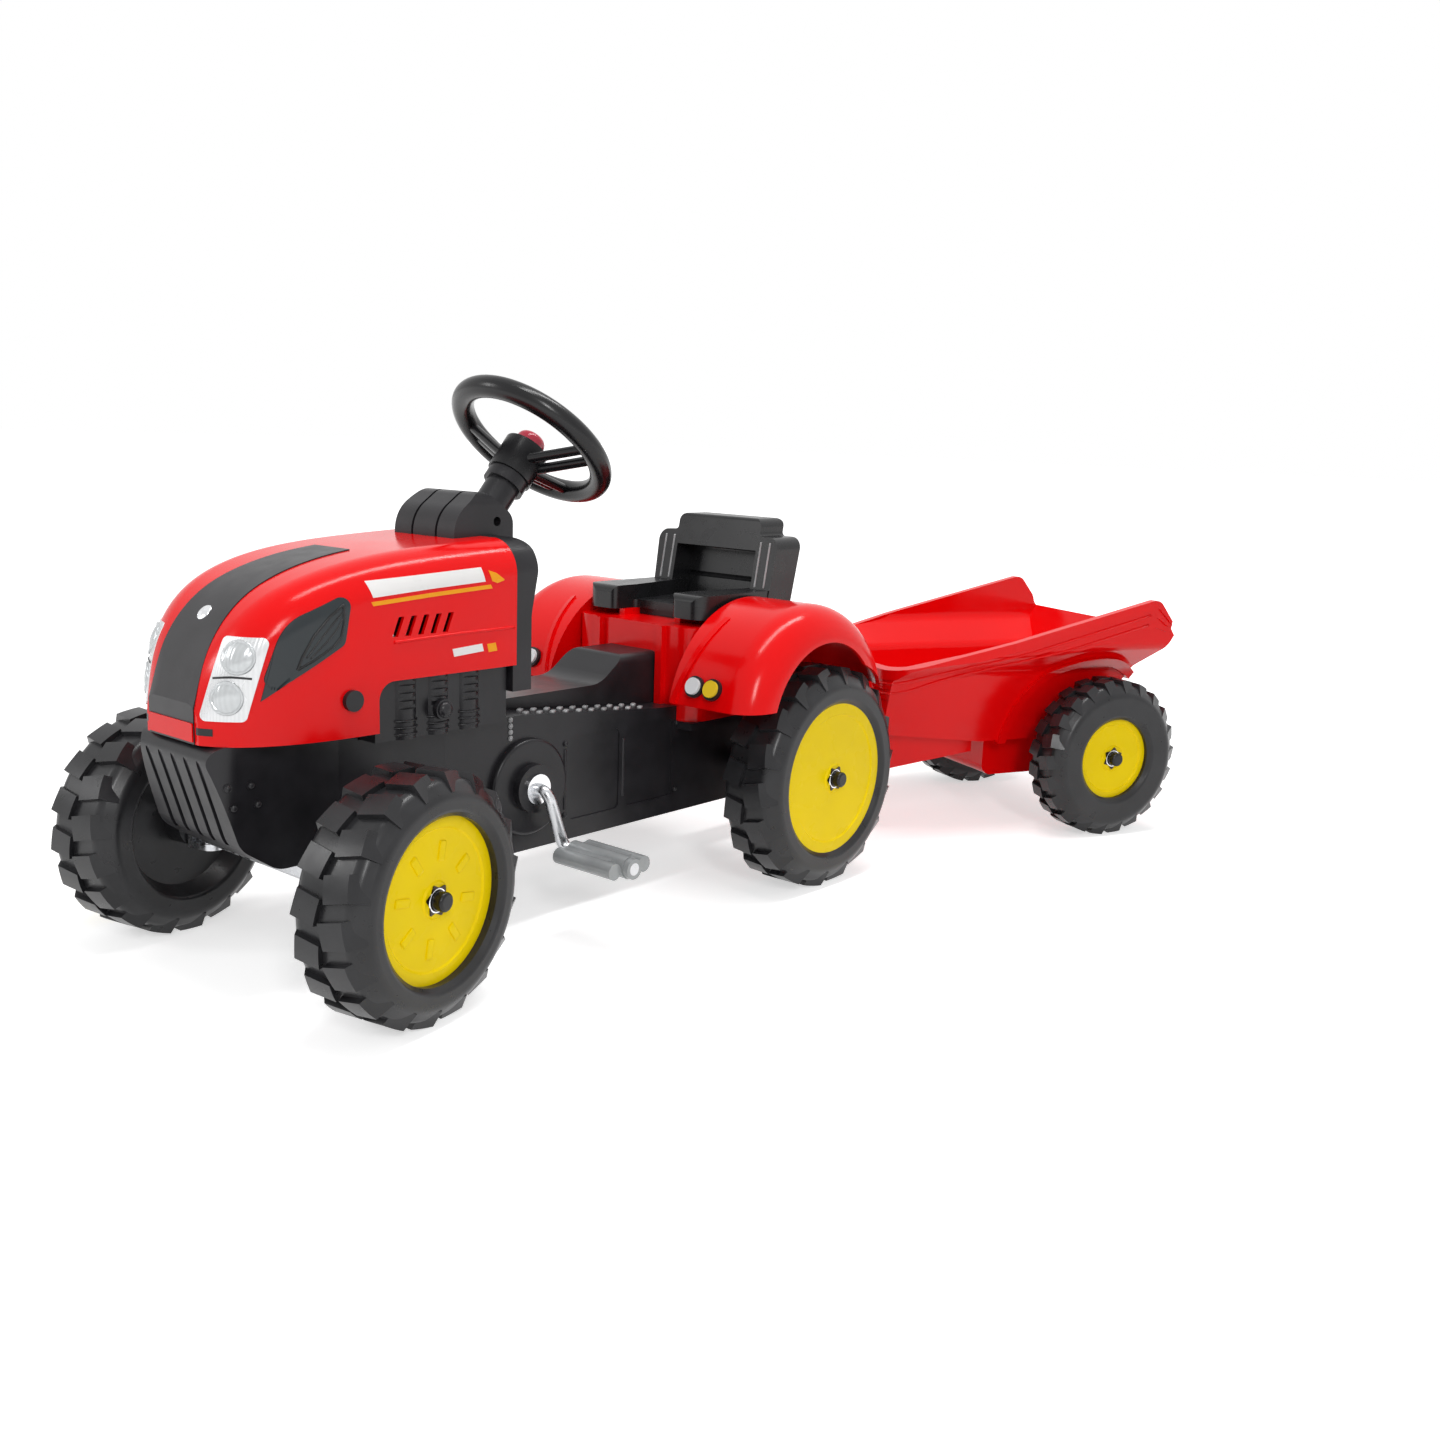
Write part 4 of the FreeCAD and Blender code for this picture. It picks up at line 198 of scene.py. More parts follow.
# %% Moulded plastics
flow_cells, handling_cells, peel_cells = 6.0, 24.0, 130.0
scuff_cells, rub_cells, grain_cells = 30.0, 60.0, 1200.0
peel_depth = 0.00003


def polished_plastic(name, colour, roughness=0.2, shine=0.5):
    """A glossy coloured moulding with flow marks and orange peel."""
    finish, tree, shader, place = new_finish(name)
    flow = spread(tree, noise(tree, place, flow_cells, 3.0), 0, 1)
    colours = blend_colours(tree, flow, shaded(colour, 0.94), shaded(colour, 1.04))
    tree.links.new(colours, shader.inputs["Base Color"])
    handling = spread(tree, noise(tree, place, handling_cells, 3.0), roughness * 0.85, roughness * 1.15)
    tree.links.new(handling, shader.inputs["Roughness"])
    tree.links.new(relief(tree, noise(tree, place, peel_cells), peel_depth, 0.25), shader.inputs["Normal"])
    shader.inputs["Specular IOR Level"].default_value = shine
    return finish


def grained_plastic(name, colour, roughness=0.45, grain=0.0001, lift=1.4, shine=0.5):
    """A satin moulding with an etched grain and paler scuffs."""
    finish, tree, shader, place = new_finish(name)
    scuff = spread(tree, noise(tree, place, scuff_cells, 5.0), 0, 1)
    colours = blend_colours(tree, scuff, shaded(colour, 0.85), shaded(colour, lift))
    tree.links.new(colours, shader.inputs["Base Color"])
    rubbed = spread(tree, noise(tree, place, rub_cells, 4.0), roughness * 0.88, roughness * 1.15)
    tree.links.new(rubbed, shader.inputs["Roughness"])
    tree.links.new(relief(tree, noise(tree, place, grain_cells), grain, 0.4), shader.inputs["Normal"])
    shader.inputs["Specular IOR Level"].default_value = shine
    return finish


red_shell = polished_plastic("red_shell", (0.80, 0.001, 0.002), 0.17, 0.2)
hub_yellow = polished_plastic("hub_yellow", (0.90, 0.66, 0.0005), 0.28, 0.1)
gloss_black = polished_plastic("gloss_black", (0.006, 0.006, 0.007), 0.26, 0.35)
crimson_button = polished_plastic("crimson_button", (0.52, 0.012, 0.045), 0.14)
tinted_panel = polished_plastic("tinted_panel", (0.020, 0.026, 0.030), 0.22, 0.35)
lens_white = polished_plastic("lens_white", (0.80, 0.80, 0.82), 0.12)
lens_amber = polished_plastic("lens_amber", (0.88, 0.60, 0.03), 0.12, 0.3)
stripe_white = polished_plastic("stripe_white", (0.84, 0.83, 0.82), 0.3, 0.3)
stripe_orange = polished_plastic("stripe_orange", (0.90, 0.36, 0.01), 0.3, 0.2)
pedal_grey = grained_plastic("pedal_grey", (0.30, 0.315, 0.32), 0.2, 0.00004, 1.15, 0.8)
charcoal = grained_plastic("charcoal", (0.013, 0.0125, 0.0145), 0.32, shine=0.3)
grille_grey = grained_plastic("grille_grey", (0.024, 0.023, 0.025), 0.36, shine=0.3)
tyre_black = grained_plastic("tyre_black", (0.015, 0.015, 0.0165), 0.3, 0.0001, 1.5, 0.35)
seat_black = grained_plastic("seat_black", (0.010, 0.010, 0.011), 0.28, 0.00006, shine=0.35)
# A pale grey for the tread bars, studs and seat ribs: painted highlight on their raised tops, over the grain and
# scuffs of the moulding.
tread_wear = grained_plastic("tread_wear", (0.26, 0.26, 0.265), 0.34, 0.00006, 1.6)
print("moulded plastics", len(bpy.data.materials))

# %% [markdown]
# ## Zinc-plated steel
# The crank, axles and hitch are steel rod with a bright zinc coat. Zinc sets in flat crystals, so a Voronoi pattern
# gives each cell its own shade and roughness, and fine noise adds the drawing marks of the bar. The lamp reflectors
# are vacuum-metallised plastic with fine upright flutes, which a wave pattern raises.

# %% Zinc-plated steel
spangle_cells, drawing_cells, polish_cells = 170.0, 700.0, 40.0
drawing_depth, flute_depth = 0.00005, 0.0003


def zinc_coat(name, colour, roughness):
    """Bright metal with crystal spangles and drawing marks."""
    finish, tree, shader, place = new_finish(name)
    cells = add_node(tree, "ShaderNodeTexVoronoi", Vector=place, Scale=spangle_cells)
    shade = add_node(tree, "ShaderNodeSeparateColor", Color=cells.outputs["Color"]).outputs["Red"]
    tree.links.new(blend_colours(tree, shade, shaded(colour, 0.86), colour), shader.inputs["Base Color"])
    tree.links.new(spread(tree, shade, roughness * 0.8, roughness * 1.25), shader.inputs["Roughness"])
    marks = relief(tree, noise(tree, place, drawing_cells), drawing_depth, 0.4)
    tree.links.new(marks, shader.inputs["Normal"])
    shader.inputs["Metallic"].default_value = 1.0
    return finish


def fluted_silver(name, colour, roughness, flutes):
    """Metallised plastic with upright flutes, so many to the metre."""
    finish, tree, shader, place = new_finish(name)
    wave = add_node(tree, "ShaderNodeTexWave", Vector=place, Scale=flutes / math.tau)
    wave.bands_direction = "Y"
    crests = wave.outputs["Fac"]
    # The troughs between the flutes are 7% darker than the crests, painted shade that follows the raised flutes.
    tree.links.new(blend_colours(tree, crests, shaded(colour, 0.93), colour), shader.inputs["Base Color"])
    polish = spread(tree, noise(tree, place, polish_cells), roughness * 0.85, roughness * 1.2)
    tree.links.new(polish, shader.inputs["Roughness"])
    tree.links.new(relief(tree, crests, flute_depth, 0.5), shader.inputs["Normal"])
    shader.inputs["Metallic"].default_value = 0.35
    return finish


zinc = zinc_coat("zinc", (0.62, 0.63, 0.65), 0.3)
mirror_silver = zinc_coat("mirror_silver", (0.86, 0.87, 0.89), 0.16)
spring_steel = zinc_coat("spring_steel", (0.060, 0.048, 0.040), 0.3)
lamp_silver = fluted_silver("lamp_silver", (0.74, 0.75, 0.76), 0.26, 900.0)
# A darker copy of the reflector silver for the lenses, painted shade for the shading of the reflector bowls.
lens_silver = fluted_silver("lens_silver", (0.58, 0.60, 0.61), 0.2, 600.0)
print("finishes with the metals", len(bpy.data.materials))

# %% [markdown]
# ## Give each moulding its finish
# The CAD nodes keep their shape, so each one only needs the right material in its slot. A table from finish to node
# names keeps this in one place, and the loop warns if a node was missed.

# %% Give each moulding its finish
finishes = {
    red_shell: ["hood", "fender_body", "trailer_bed", "axle_carrier", "drawbar"],
    charcoal: ["chassis_frame", "belly_cover", "engine_block", "dash_panel", "steering_cowl", "column_sleeve",
               "steering_lower_bush", "hood_plugs", "lamp_bezels", "rear_axle_bushes"],
    grille_grey: ["grille_strip"],
    tinted_panel: ["side_panels"],
    lens_white: ["white_lamps"],
    lamp_silver: ["headlamps"],
    lens_amber: ["amber_lamps"],
    tyre_black: [name for name in nodes if "tyre" in name],
    hub_yellow: [name for name in nodes if "_disc_" in name],
    gloss_black: ["steering_wheel", "rear_spacers"] + [name for name in nodes if "axle_cap" in name],
    seat_black: ["seat_shell"],
    crimson_button: ["horn_button"],
    pedal_grey: ["pedal_left", "pedal_right", "pedal_caps"],
    mirror_silver: ["crank_bushes"],
    zinc: ["steering_rod", "crank_rod", "rear_axle_rod", "trailer_axle", "front_axle_beam", "kingpins",
           "knuckle_left", "knuckle_right", "tie_rod", "drive_sprocket", "axle_sprocket", "drive_chain",
           "hitch_bracket", "hitch_pin"],
}
dressed = set()
for finish, names in finishes.items():
    for name in names:
        nodes[name].data.materials.clear()
        nodes[name].data.materials.append(finish)
        dressed.add(name)
print("dressed", len(dressed), "nodes, missed", sorted(set(nodes) - dressed))

# %% [markdown]
# ## Rules for what repeats
# Washers, bars, bands and screws repeat, so Geometry Nodes make them. Each rule is a tree with named sizes. It
# copies a unit shape onto points, and every point carries an aim, the direction that the unit's Z axis takes, so one
# rule serves a wheel, a step or a side wall.

# %% Rules for what repeats


def new_rule(name, **sizes):
    """Start a tree with named inputs and return it with its input and output sockets."""
    rule = bpy.data.node_groups.new(name, "GeometryNodeTree")
    rule.interface.new_socket("Geometry", in_out="INPUT", socket_type="NodeSocketGeometry")
    for label, kind in sizes.items():
        rule.interface.new_socket(label, in_out="INPUT", socket_type="NodeSocket" + kind)
    rule.interface.new_socket("Geometry", in_out="OUTPUT", socket_type="NodeSocketGeometry")
    return rule, rule.nodes.new("NodeGroupInput").outputs, rule.nodes.new("NodeGroupOutput").inputs


def set_on_points(rule, points, unit):
    """Copy a unit shape onto every point, with its Z axis along the point's aim."""
    aim = add_node(rule, "GeometryNodeInputNamedAttribute", Name="aim")
    aim.data_type = "FLOAT_VECTOR"
    turn = rule.nodes.new("FunctionNodeAlignRotationToVector")
    turn.axis = "Z"
    rule.links.new(aim.outputs["Attribute"], turn.inputs["Vector"])
    copies = add_node(rule, "GeometryNodeInstanceOnPoints", Points=points, Instance=unit)
    rule.links.new(turn.outputs["Rotation"], copies.inputs["Rotation"])
    return copies.outputs["Instances"]


def coated(rule, shape, finish):
    """Realize a shape and set its material."""
    real = add_node(rule, "GeometryNodeRealizeInstances", Geometry=shape).outputs["Geometry"]
    return add_node(rule, "GeometryNodeSetMaterial", Geometry=real, Material=finish).outputs["Geometry"]


def joined(rule, *shapes):
    """Join several shapes into one."""
    join = rule.nodes.new("GeometryNodeJoinGeometry")
    for shape in shapes:
        rule.links.new(shape, join.inputs["Geometry"])
    return join.outputs["Geometry"]


print("rules can be built")

# %% [markdown]
# ## Running a rule
# A rule runs as a modifier on a mesh that holds only points. The result is kept as a plain mesh, because the export
# drops instances, and it rides on the body that carries it.

# %% Running a rule


def make_by_rule(name, rule, places, aims, body, **sizes):
    """Run a rule on points and keep the result as a plain mesh that rides on a body."""
    points = bpy.data.meshes.new(name + "_points")
    points.from_pydata(places, [], [])
    aim = points.attributes.new("aim", "FLOAT_VECTOR", "POINT")
    for item, direction in zip(aim.data, aims):
        item.vector = direction
    holder = bpy.data.objects.new(name + "_holder", points)
    scene.collection.objects.link(holder)
    step = holder.modifiers.new("rule", "NODES")
    step.node_group = rule
    for socket in rule.interface.items_tree:
        if socket.in_out == "INPUT" and socket.name in sizes:
            step[socket.identifier] = sizes[socket.name]
    bpy.context.view_layer.update()
    mesh = bpy.data.meshes.new_from_object(holder.evaluated_get(bpy.context.evaluated_depsgraph_get()))
    bpy.data.objects.remove(holder)
    mesh.name = name
    piece = bpy.data.objects.new(name, mesh)
    scene.collection.objects.link(piece)
    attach(piece, body)
    print(name, len(mesh.polygons), "faces on", body)


print("rules can be run")

# %% [markdown]
# ## Unit shapes
# The rules share two unit shapes, a bar with rounded edges and a round bead swept along a circle, and most of them
# end in the same way: the unit goes onto the points and takes one finish.

# %% Unit shapes


def rounded_bar(rule, sizes, level, crease):
    """A bar of the rule's own sizes with rounded edges."""
    size = add_node(rule, "ShaderNodeCombineXYZ", X=sizes["Length"], Y=sizes["Width"], Z=sizes["Height"])
    bar = add_node(rule, "GeometryNodeMeshCube", Size=size.outputs["Vector"]).outputs["Mesh"]
    bar = add_node(rule, "GeometryNodeSubdivisionSurface", Mesh=bar, Level=level, Edge_Crease=crease)
    return add_node(rule, "GeometryNodeSetShadeSmooth", Geometry=bar.outputs["Mesh"]).outputs["Geometry"]


def swept_ring(rule, radius, bead, turns, sides):
    """A round bead swept along a circle."""
    hoop = add_node(rule, "GeometryNodeCurvePrimitiveCircle", Resolution=turns, Radius=radius)
    section = add_node(rule, "GeometryNodeCurvePrimitiveCircle", Resolution=sides, Radius=bead)
    ring = add_node(rule, "GeometryNodeCurveToMesh", Curve=hoop.outputs["Curve"],
                    Profile_Curve=section.outputs["Curve"])
    return ring.outputs["Mesh"]


def end_rule(rule, given, made, unit):
    """Set the unit on the points in the given finish."""
    copies = set_on_points(rule, given["Geometry"], unit)
    rule.links.new(coated(rule, copies, given["Finish"]), made["Geometry"])


print("unit shapes: rounded bar and swept ring")

# %% [markdown]
# ## Star washers
# Each axle end has a black cap pushed over a sprung star washer, whose six lobes bite on the rod, with a bright ring
# under the cap. The star is a filled curve with rounded corners, extruded to sheet thickness, and the ring is a
# circle swept along a circle. The cap's lowest point along its axle shows where the washer sits.

# %% Star washers
star_rule, given, made = new_rule("star_washer", Lobes="Int", Reach="Float", Waist="Float", Sheet="Float",
                                  Ring="Float", Bead="Float", Star_finish="Material", Ring_finish="Material")
star = add_node(star_rule, "GeometryNodeCurveStar", Points=given["Lobes"], Inner_Radius=given["Waist"],
                Outer_Radius=given["Reach"])
rounded = add_node(star_rule, "GeometryNodeFilletCurve", Curve=star.outputs["Curve"], Radius=given["Bead"])
rounded.mode = "POLY"
rounded.inputs["Count"].default_value = 3
flat = add_node(star_rule, "GeometryNodeFillCurve", Curve=rounded.outputs["Curve"]).outputs["Mesh"]
raised = add_node(star_rule, "GeometryNodeExtrudeMesh", Mesh=flat, Offset_Scale=given["Sheet"])
under = add_node(star_rule, "GeometryNodeFlipFaces", Mesh=flat).outputs["Mesh"]
plate = add_node(star_rule, "GeometryNodeMergeByDistance",
                 Geometry=joined(star_rule, raised.outputs["Mesh"], under)).outputs["Geometry"]
ring = swept_ring(star_rule, given["Ring"], given["Bead"], 40, 10)
star_rule.links.new(joined(
    star_rule,
    coated(star_rule, set_on_points(star_rule, given["Geometry"], plate), given["Star_finish"]),
    coated(star_rule, set_on_points(star_rule, given["Geometry"], ring), given["Ring_finish"]),
), made["Geometry"])


def cap_seat(cap, wheel, side):
    """Where a cap meets its washer on one side of a wheel's axle, and which way is out."""
    centre = Vector(joints[wheel]["pos_m"])
    out = Vector(joints[wheel]["axis"]).normalized() * side
    depths = [(corner.co - centre).dot(out) for corner in nodes[cap].data.vertices]
    return centre + out * min(depth for depth in depths if depth > 0), out


washers = {
    "front_left": ("front_axle_cap_left", [("front_wheel_left_spin", 1)]),
    "front_right": ("front_axle_cap_right", [("front_wheel_right_spin", -1)]),
    "rear": ("rear_axle_caps", [("rear_axle_spin", 1), ("rear_axle_spin", -1)]),
    "trailer": ("trailer_axle_caps", [("trailer_wheel_left_spin", 1), ("trailer_wheel_right_spin", -1)]),
}
washer_seats = {}
for label, (cap, wheels) in washers.items():
    seats = washer_seats[label] = [cap_seat(cap, wheel, side) for wheel, side in wheels]
    make_by_rule("star_washer_" + label, star_rule, [seat for seat, out in seats], [out for seat, out in seats],
                 nodes[cap]["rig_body"], Lobes=6, Reach=0.0150, Waist=0.0105, Sheet=0.0010, Ring=0.0098,
                 Bead=0.0012, Star_finish=spring_steel, Ring_finish=mirror_silver)

# %% [markdown]
# ## Ribs of the front discs
# The front discs have shallow ribs moulded in their dish, like the spokes of a pressed wheel. A circle of points
# carries one rounded bar each, turned to face the hub, and the whole ring is set on the disc by the wheel's axle.

# %% Ribs of the front discs
rib_rule, given, made = new_rule("disc_ribs", Count="Int", Radius="Float", Length="Float", Width="Float",
                                 Height="Float", Finish="Material")
bar = rounded_bar(rib_rule, given, 3, 0.5)
hub_circle = add_node(rib_rule, "GeometryNodeMeshCircle", Vertices=given["Count"], Radius=given["Radius"])
outward = rib_rule.nodes.new("FunctionNodeAlignRotationToVector")
outward.axis = "X"
rib_rule.links.new(rib_rule.nodes.new("GeometryNodeInputPosition").outputs["Position"], outward.inputs["Vector"])
spokes = add_node(rib_rule, "GeometryNodeInstanceOnPoints", Points=hub_circle.outputs["Mesh"], Instance=bar)
rib_rule.links.new(outward.outputs["Rotation"], spokes.inputs["Rotation"])
end_rule(rib_rule, given, made, spokes.outputs["Instances"])
dish_depth = 2.0 * millimetre
for label in ("left", "right"):
    seat, out = washer_seats["front_" + label][0]
    make_by_rule("disc_ribs_" + label, rib_rule, [seat - out * dish_depth], [out], "front_wheel_" + label,
                 Count=8, Radius=0.041, Length=0.017, Width=0.0075, Height=0.0030, Finish=hub_yellow)

# %% [markdown]
# ## Carriers
# Treads, screws and trim have to sit on the CAD surface wherever it curves. A ray cast from outside finds the skin
# of the node that carries them, and gives its place and its normal.

# %% Carriers
skins = {}


def on_skin(carrier, start, aim, reach=0.12):
    """Where a ray from a start along an aim first meets a node, or one of several, with its normal there."""
    hits = []
    for name in carrier.split():
        if name not in skins:
            mesh = nodes[name].data
            skins[name] = BVHTree.FromPolygons([v.co for v in mesh.vertices], [p.vertices for p in mesh.polygons])
        place, normal, index, distance = skins[name].ray_cast(start, aim, reach)
        if place is not None:
            hits.append((distance, place, normal if normal.dot(aim) < 0 else -normal))
    if not hits:
        raise ValueError(carrier + " is not met from " + str(start))
    return min(hits, key=lambda hit: hit[0])[1:]


def from_both_sides(carrier, spots):
    """Where level rays from both sides meet a carrier, for spots given as millimetres ahead and up."""
    clear_of_all = 130
    return [on_skin(carrier, at(x, side * clear_of_all, z), inward(side)) for label, side in both_sides
            for x, z in spots]


def make_on_skin(name, rule, hits, **sizes):
    """Run a rule on places that rays have found on the tractor, each aimed along the normal there."""
    places = [place for place, normal in hits]
    normals = [normal for place, normal in hits]
    make_by_rule(name, rule, places, normals, "tractor", **sizes)


down = Vector((0, 0, -1))
above_step = 260
print("step is at", round(on_skin("chassis_frame", at(240, 55, above_step), down)[0].z, 4))

# %% [markdown]
# ## Tread bars on the step
# On each side of the console the step has two rows of short slanted bars, so that small shoes don't slip, and they
# are pale grey, painted highlight on their tops. The points are found by dropping rays on the step, and the rule
# turns a rounded bar on each.

# %% Tread bars on the step
tread_rule, given, made = new_rule("tread_bars", Length="Float", Width="Float", Height="Float", Slant="Float",
                                   Finish="Material")
lean = add_node(tread_rule, "ShaderNodeCombineXYZ", Z=given["Slant"]).outputs["Vector"]
bar = add_node(tread_rule, "GeometryNodeTransform", Geometry=rounded_bar(tread_rule, given, 2, 0.6), Rotation=lean)
end_rule(tread_rule, given, made, bar.outputs["Geometry"])
first_bar_x, bar_pitch, row_lag = 156, 18, 7
first_row_y, row_pitch = 46.5, 16.5
for label, side in both_sides:
    hits = [on_skin("chassis_frame", at(first_bar_x + bar_pitch * i + row_lag * row,
                                        side * (first_row_y + row_pitch * row), above_step), down)
            for row in range(2) for i in range(10)]
    make_on_skin("tread_bars_" + label, tread_rule, hits, Length=0.0130, Width=0.0050, Height=0.0042,
                 Slant=side * 0.62, Finish=tread_wear)

# %% [markdown]
# ## Bands of the engine
# The moulded engine has banded barrels between its fins. A short stack of hoops is made once and copied to the foot
# of each barrel, where the hoop's radius is a little more than the barrel's, so it stands proud as a cast band.

# %% Bands of the engine
band_rule, given, made = new_rule("barrel_bands", Count="Int", Pitch="Float", Radius="Float", Bead="Float",
                                  Finish="Material")
band = swept_ring(band_rule, given["Radius"], given["Bead"], 36, 8)
pitch = add_node(band_rule, "ShaderNodeCombineXYZ", Z=given["Pitch"])
stack = add_node(band_rule, "GeometryNodeMeshLine", Count=given["Count"], Offset=pitch.outputs["Vector"])
bands = add_node(band_rule, "GeometryNodeInstanceOnPoints", Points=stack.outputs["Mesh"], Instance=band)
end_rule(band_rule, given, made, bands.outputs["Instances"])
first_barrel_x, barrel_pitch, barrel_y, barrel_foot = 413.7, 35.76, 74, 219.5
barrel_feet = [at(first_barrel_x + barrel_pitch * i, side * barrel_y, barrel_foot)
               for i in range(3) for label, side in both_sides]
make_by_rule("barrel_bands", band_rule, barrel_feet, [(0, 0, 1)] * len(barrel_feet), "tractor", Count=3,
             Pitch=0.006, Radius=0.0153, Bead=0.0012, Finish=charcoal)

# %% [markdown]
# ## Screws and studs
# Small domed screws hold the belly cover, the side seams and the nose, a row of studs runs up the post behind the
# engine, and the engine has a round boss on each side. One rule makes them all: a flat washer under a dome, set on
# points that rays find on the mouldings.

# %% Screws and studs
screw_rule, given, made = new_rule("domed_screw", Radius="Float", Height="Float", Finish="Material")
washer = add_node(screw_rule, "GeometryNodeMeshCone", Vertices=24, Radius_Top=given["Radius"],
                  Radius_Bottom=given["Radius"], Depth=given["Height"]).outputs["Mesh"]
ball = add_node(screw_rule, "GeometryNodeMeshUVSphere", Segments=20, Rings=10, Radius=given["Radius"])
ball = add_node(screw_rule, "GeometryNodeSetShadeSmooth", Geometry=ball.outputs["Mesh"]).outputs["Geometry"]
dome = add_node(screw_rule, "GeometryNodeTransform", Geometry=ball, Scale=(0.8, 0.8, 0.55)).outputs["Geometry"]
lifted = add_node(screw_rule, "ShaderNodeCombineXYZ", Z=given["Height"]).outputs["Vector"]
dome = add_node(screw_rule, "GeometryNodeTransform", Geometry=dome, Translation=lifted).outputs["Geometry"]
end_rule(screw_rule, given, made, joined(screw_rule, washer, dome))
seam_spots = [(x, z) for x in (112, 278) for z in (104, 178)]
make_on_skin("seam_screws", screw_rule, from_both_sides("chassis_frame", seam_spots),
             Radius=0.0030, Height=0.0010, Finish=charcoal)
nose_spots = [(646, 192), (626, 192), (642, 175), (620, 175)]
make_on_skin("nose_screws", screw_rule, from_both_sides("chassis_frame", nose_spots),
             Radius=0.0036, Height=0.0014, Finish=charcoal)
# The studs are pale grey, painted highlight on their domes.
post_spots = [(351, 194 + 6 * i) for i in range(4)]
make_on_skin("post_studs", screw_rule, from_both_sides("chassis_frame", post_spots),
             Radius=0.0026, Height=0.0010, Finish=tread_wear)
make_on_skin("engine_bosses", screw_rule, from_both_sides("engine_block", [(449.5, 238)]),
             Radius=0.0095, Height=0.0050, Finish=charcoal)
cover_low, cover_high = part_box("belly_cover")
edge_room, half_spacing, under_cover = 0.012, 0.040, 0.02
cover_hits = [on_skin("belly_cover", Vector((x, under_axle.y + y, under_cover)), -down, 0.2)
              for x in (cover_low.x + edge_room, (cover_low.x + cover_high.x) / 2, cover_high.x - edge_room)
              for y in (-half_spacing, half_spacing)]
make_on_skin("belly_screws", screw_rule, cover_hits, Radius=0.0045, Height=0.0012, Finish=zinc)

# %% [markdown]
# ## Trim that lies on a moulding
# Stripes, ridges and lenses follow the curve of what carries them. Each is a closed slab: every point of its outline
# is cast on the carrier from a little way off, its top stands proud and its underside is sunk below the skin. They
# are plain meshes, because each one has its own outline and none repeats.

# %% Closed pieces
sink = 0.3 * millimetre
stand_off = 50 * millimetre


def closed_piece(name, corners, faces, finish, body, smooth=True):
    """Make a piece from corners and faces, with its faces turned outwards."""
    mesh = bpy.data.meshes.new(name)
    shape = bmesh.new()
    points = [shape.verts.new(corner) for corner in corners]
    for face in faces:
        shape.faces.new([points[i] for i in face])
    bmesh.ops.remove_doubles(shape, verts=shape.verts, dist=1e-6)
    bmesh.ops.recalc_face_normals(shape, faces=shape.faces)
    for face in shape.faces:
        face.smooth = smooth
    shape.to_mesh(mesh)
    shape.free()
    mesh.materials.append(finish)
    piece = bpy.data.objects.new(name, mesh)
    scene.collection.objects.link(piece)
    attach(piece, body)
    print(name, len(mesh.polygons), "faces on", body)


def cast(carrier, point, aim):
    """Where a point, seen along an aim, lies on a carrier."""
    return on_skin(carrier, point - aim * stand_off, aim)[0]


def along(points, share):
    """A point on a chain of straight runs, by share of its number of runs."""
    place = share * (len(points) - 1)
    index = min(int(place), len(points) - 2)
    return points[index].lerp(points[index + 1], place - index)


print("trim is sunk by", sink, "m")

# %% [markdown]
# ## Sheets
# A sheet fills between two edges in rows and steps, with a wall round its border, so that a flat sticker bends with
# the hood.

# %% Sheets
sheet_steps, sheet_rows = 24, 6


def laid_sheet(name, carrier, edge_a, edge_b, aim, proud, finish, steps=sheet_steps, rows=sheet_rows):
    """A thin slab on a carrier, between two edges."""
    width = rows + 1
    tops, lows = [], []
    for i in range(steps + 1):
        for j in range(width):
            start = along(edge_a, i / steps).lerp(along(edge_b, i / steps), j / rows)
            place = cast(carrier, start, aim)
            tops.append(place - aim * proud)
            lows.append(place + aim * sink)
    count = len(tops)
    faces = []
    for i in range(steps):
        for j in range(rows):
            a, b = i * width + j, (i + 1) * width + j
            faces.append((a, b, b + 1, a + 1))
            faces.append((count + a, count + a + 1, count + b + 1, count + b))
    border = ([i * width for i in range(steps + 1)] + [steps * width + j for j in range(1, width)]
              + [i * width + rows for i in range(steps - 1, -1, -1)] + [j for j in range(rows - 1, 0, -1)])
    for a, b in zip(border, border[1:] + border[:1]):
        faces.append((a, count + a, count + b, b))
    closed_piece(name, tops + lows, faces, finish, "tractor", smooth=False)


print("sheets have", sheet_steps, "steps and", sheet_rows, "rows unless told otherwise")

# %% [markdown]
# ## Ridges
# A ridge sweeps a rounded section along a path. On a wall that turns, such as the rim of the trailer, each point of
# the path has its own aim.

# %% Ridges
ridge_section = [(-0.5, 0.0), (-0.42, 0.55), (-0.2, 0.93), (0.0, 1.0), (0.2, 0.93), (0.42, 0.55), (0.5, 0.0)]


def laid_ridge(name, carrier, path, aim, width, height, finish, body="tractor", steps=40):
    """A rounded rib on a carrier, along a path, with one aim or one for each point of the path."""
    aims = [along(aim, i / steps).normalized() if isinstance(aim, list) else aim for i in range(steps + 1)]
    spine = [cast(carrier, along(path, i / steps), aims[i]) for i in range(steps + 1)]
    section = [(-0.5, -sink / height)] + ridge_section + [(0.5, -sink / height)]
    size = len(section)
    corners = []
    for i, place in enumerate(spine):
        run = (spine[min(i + 1, steps)] - spine[max(i - 1, 0)]).normalized()
        across = run.cross(aims[i]).normalized()
        corners += [place + across * x * width - aims[i] * z * height for x, z in section]
    faces = [tuple(range(size)), tuple(steps * size + j for j in range(size - 1, -1, -1))]
    for i in range(steps):
        for j in range(size):
            a, b = i * size + j, i * size + (j + 1) % size
            faces.append((a, b, b + size, a + size))
    closed_piece(name, corners, faces, finish, body)


print("ridges have", len(ridge_section), "points across")

# %% [markdown]
# ## Domes
# A dome turns a profile round a centre, so a lens can have a ring and a crowned middle and still lie on a carrier
# that curves.

# %% Domes
dome_turns = 48


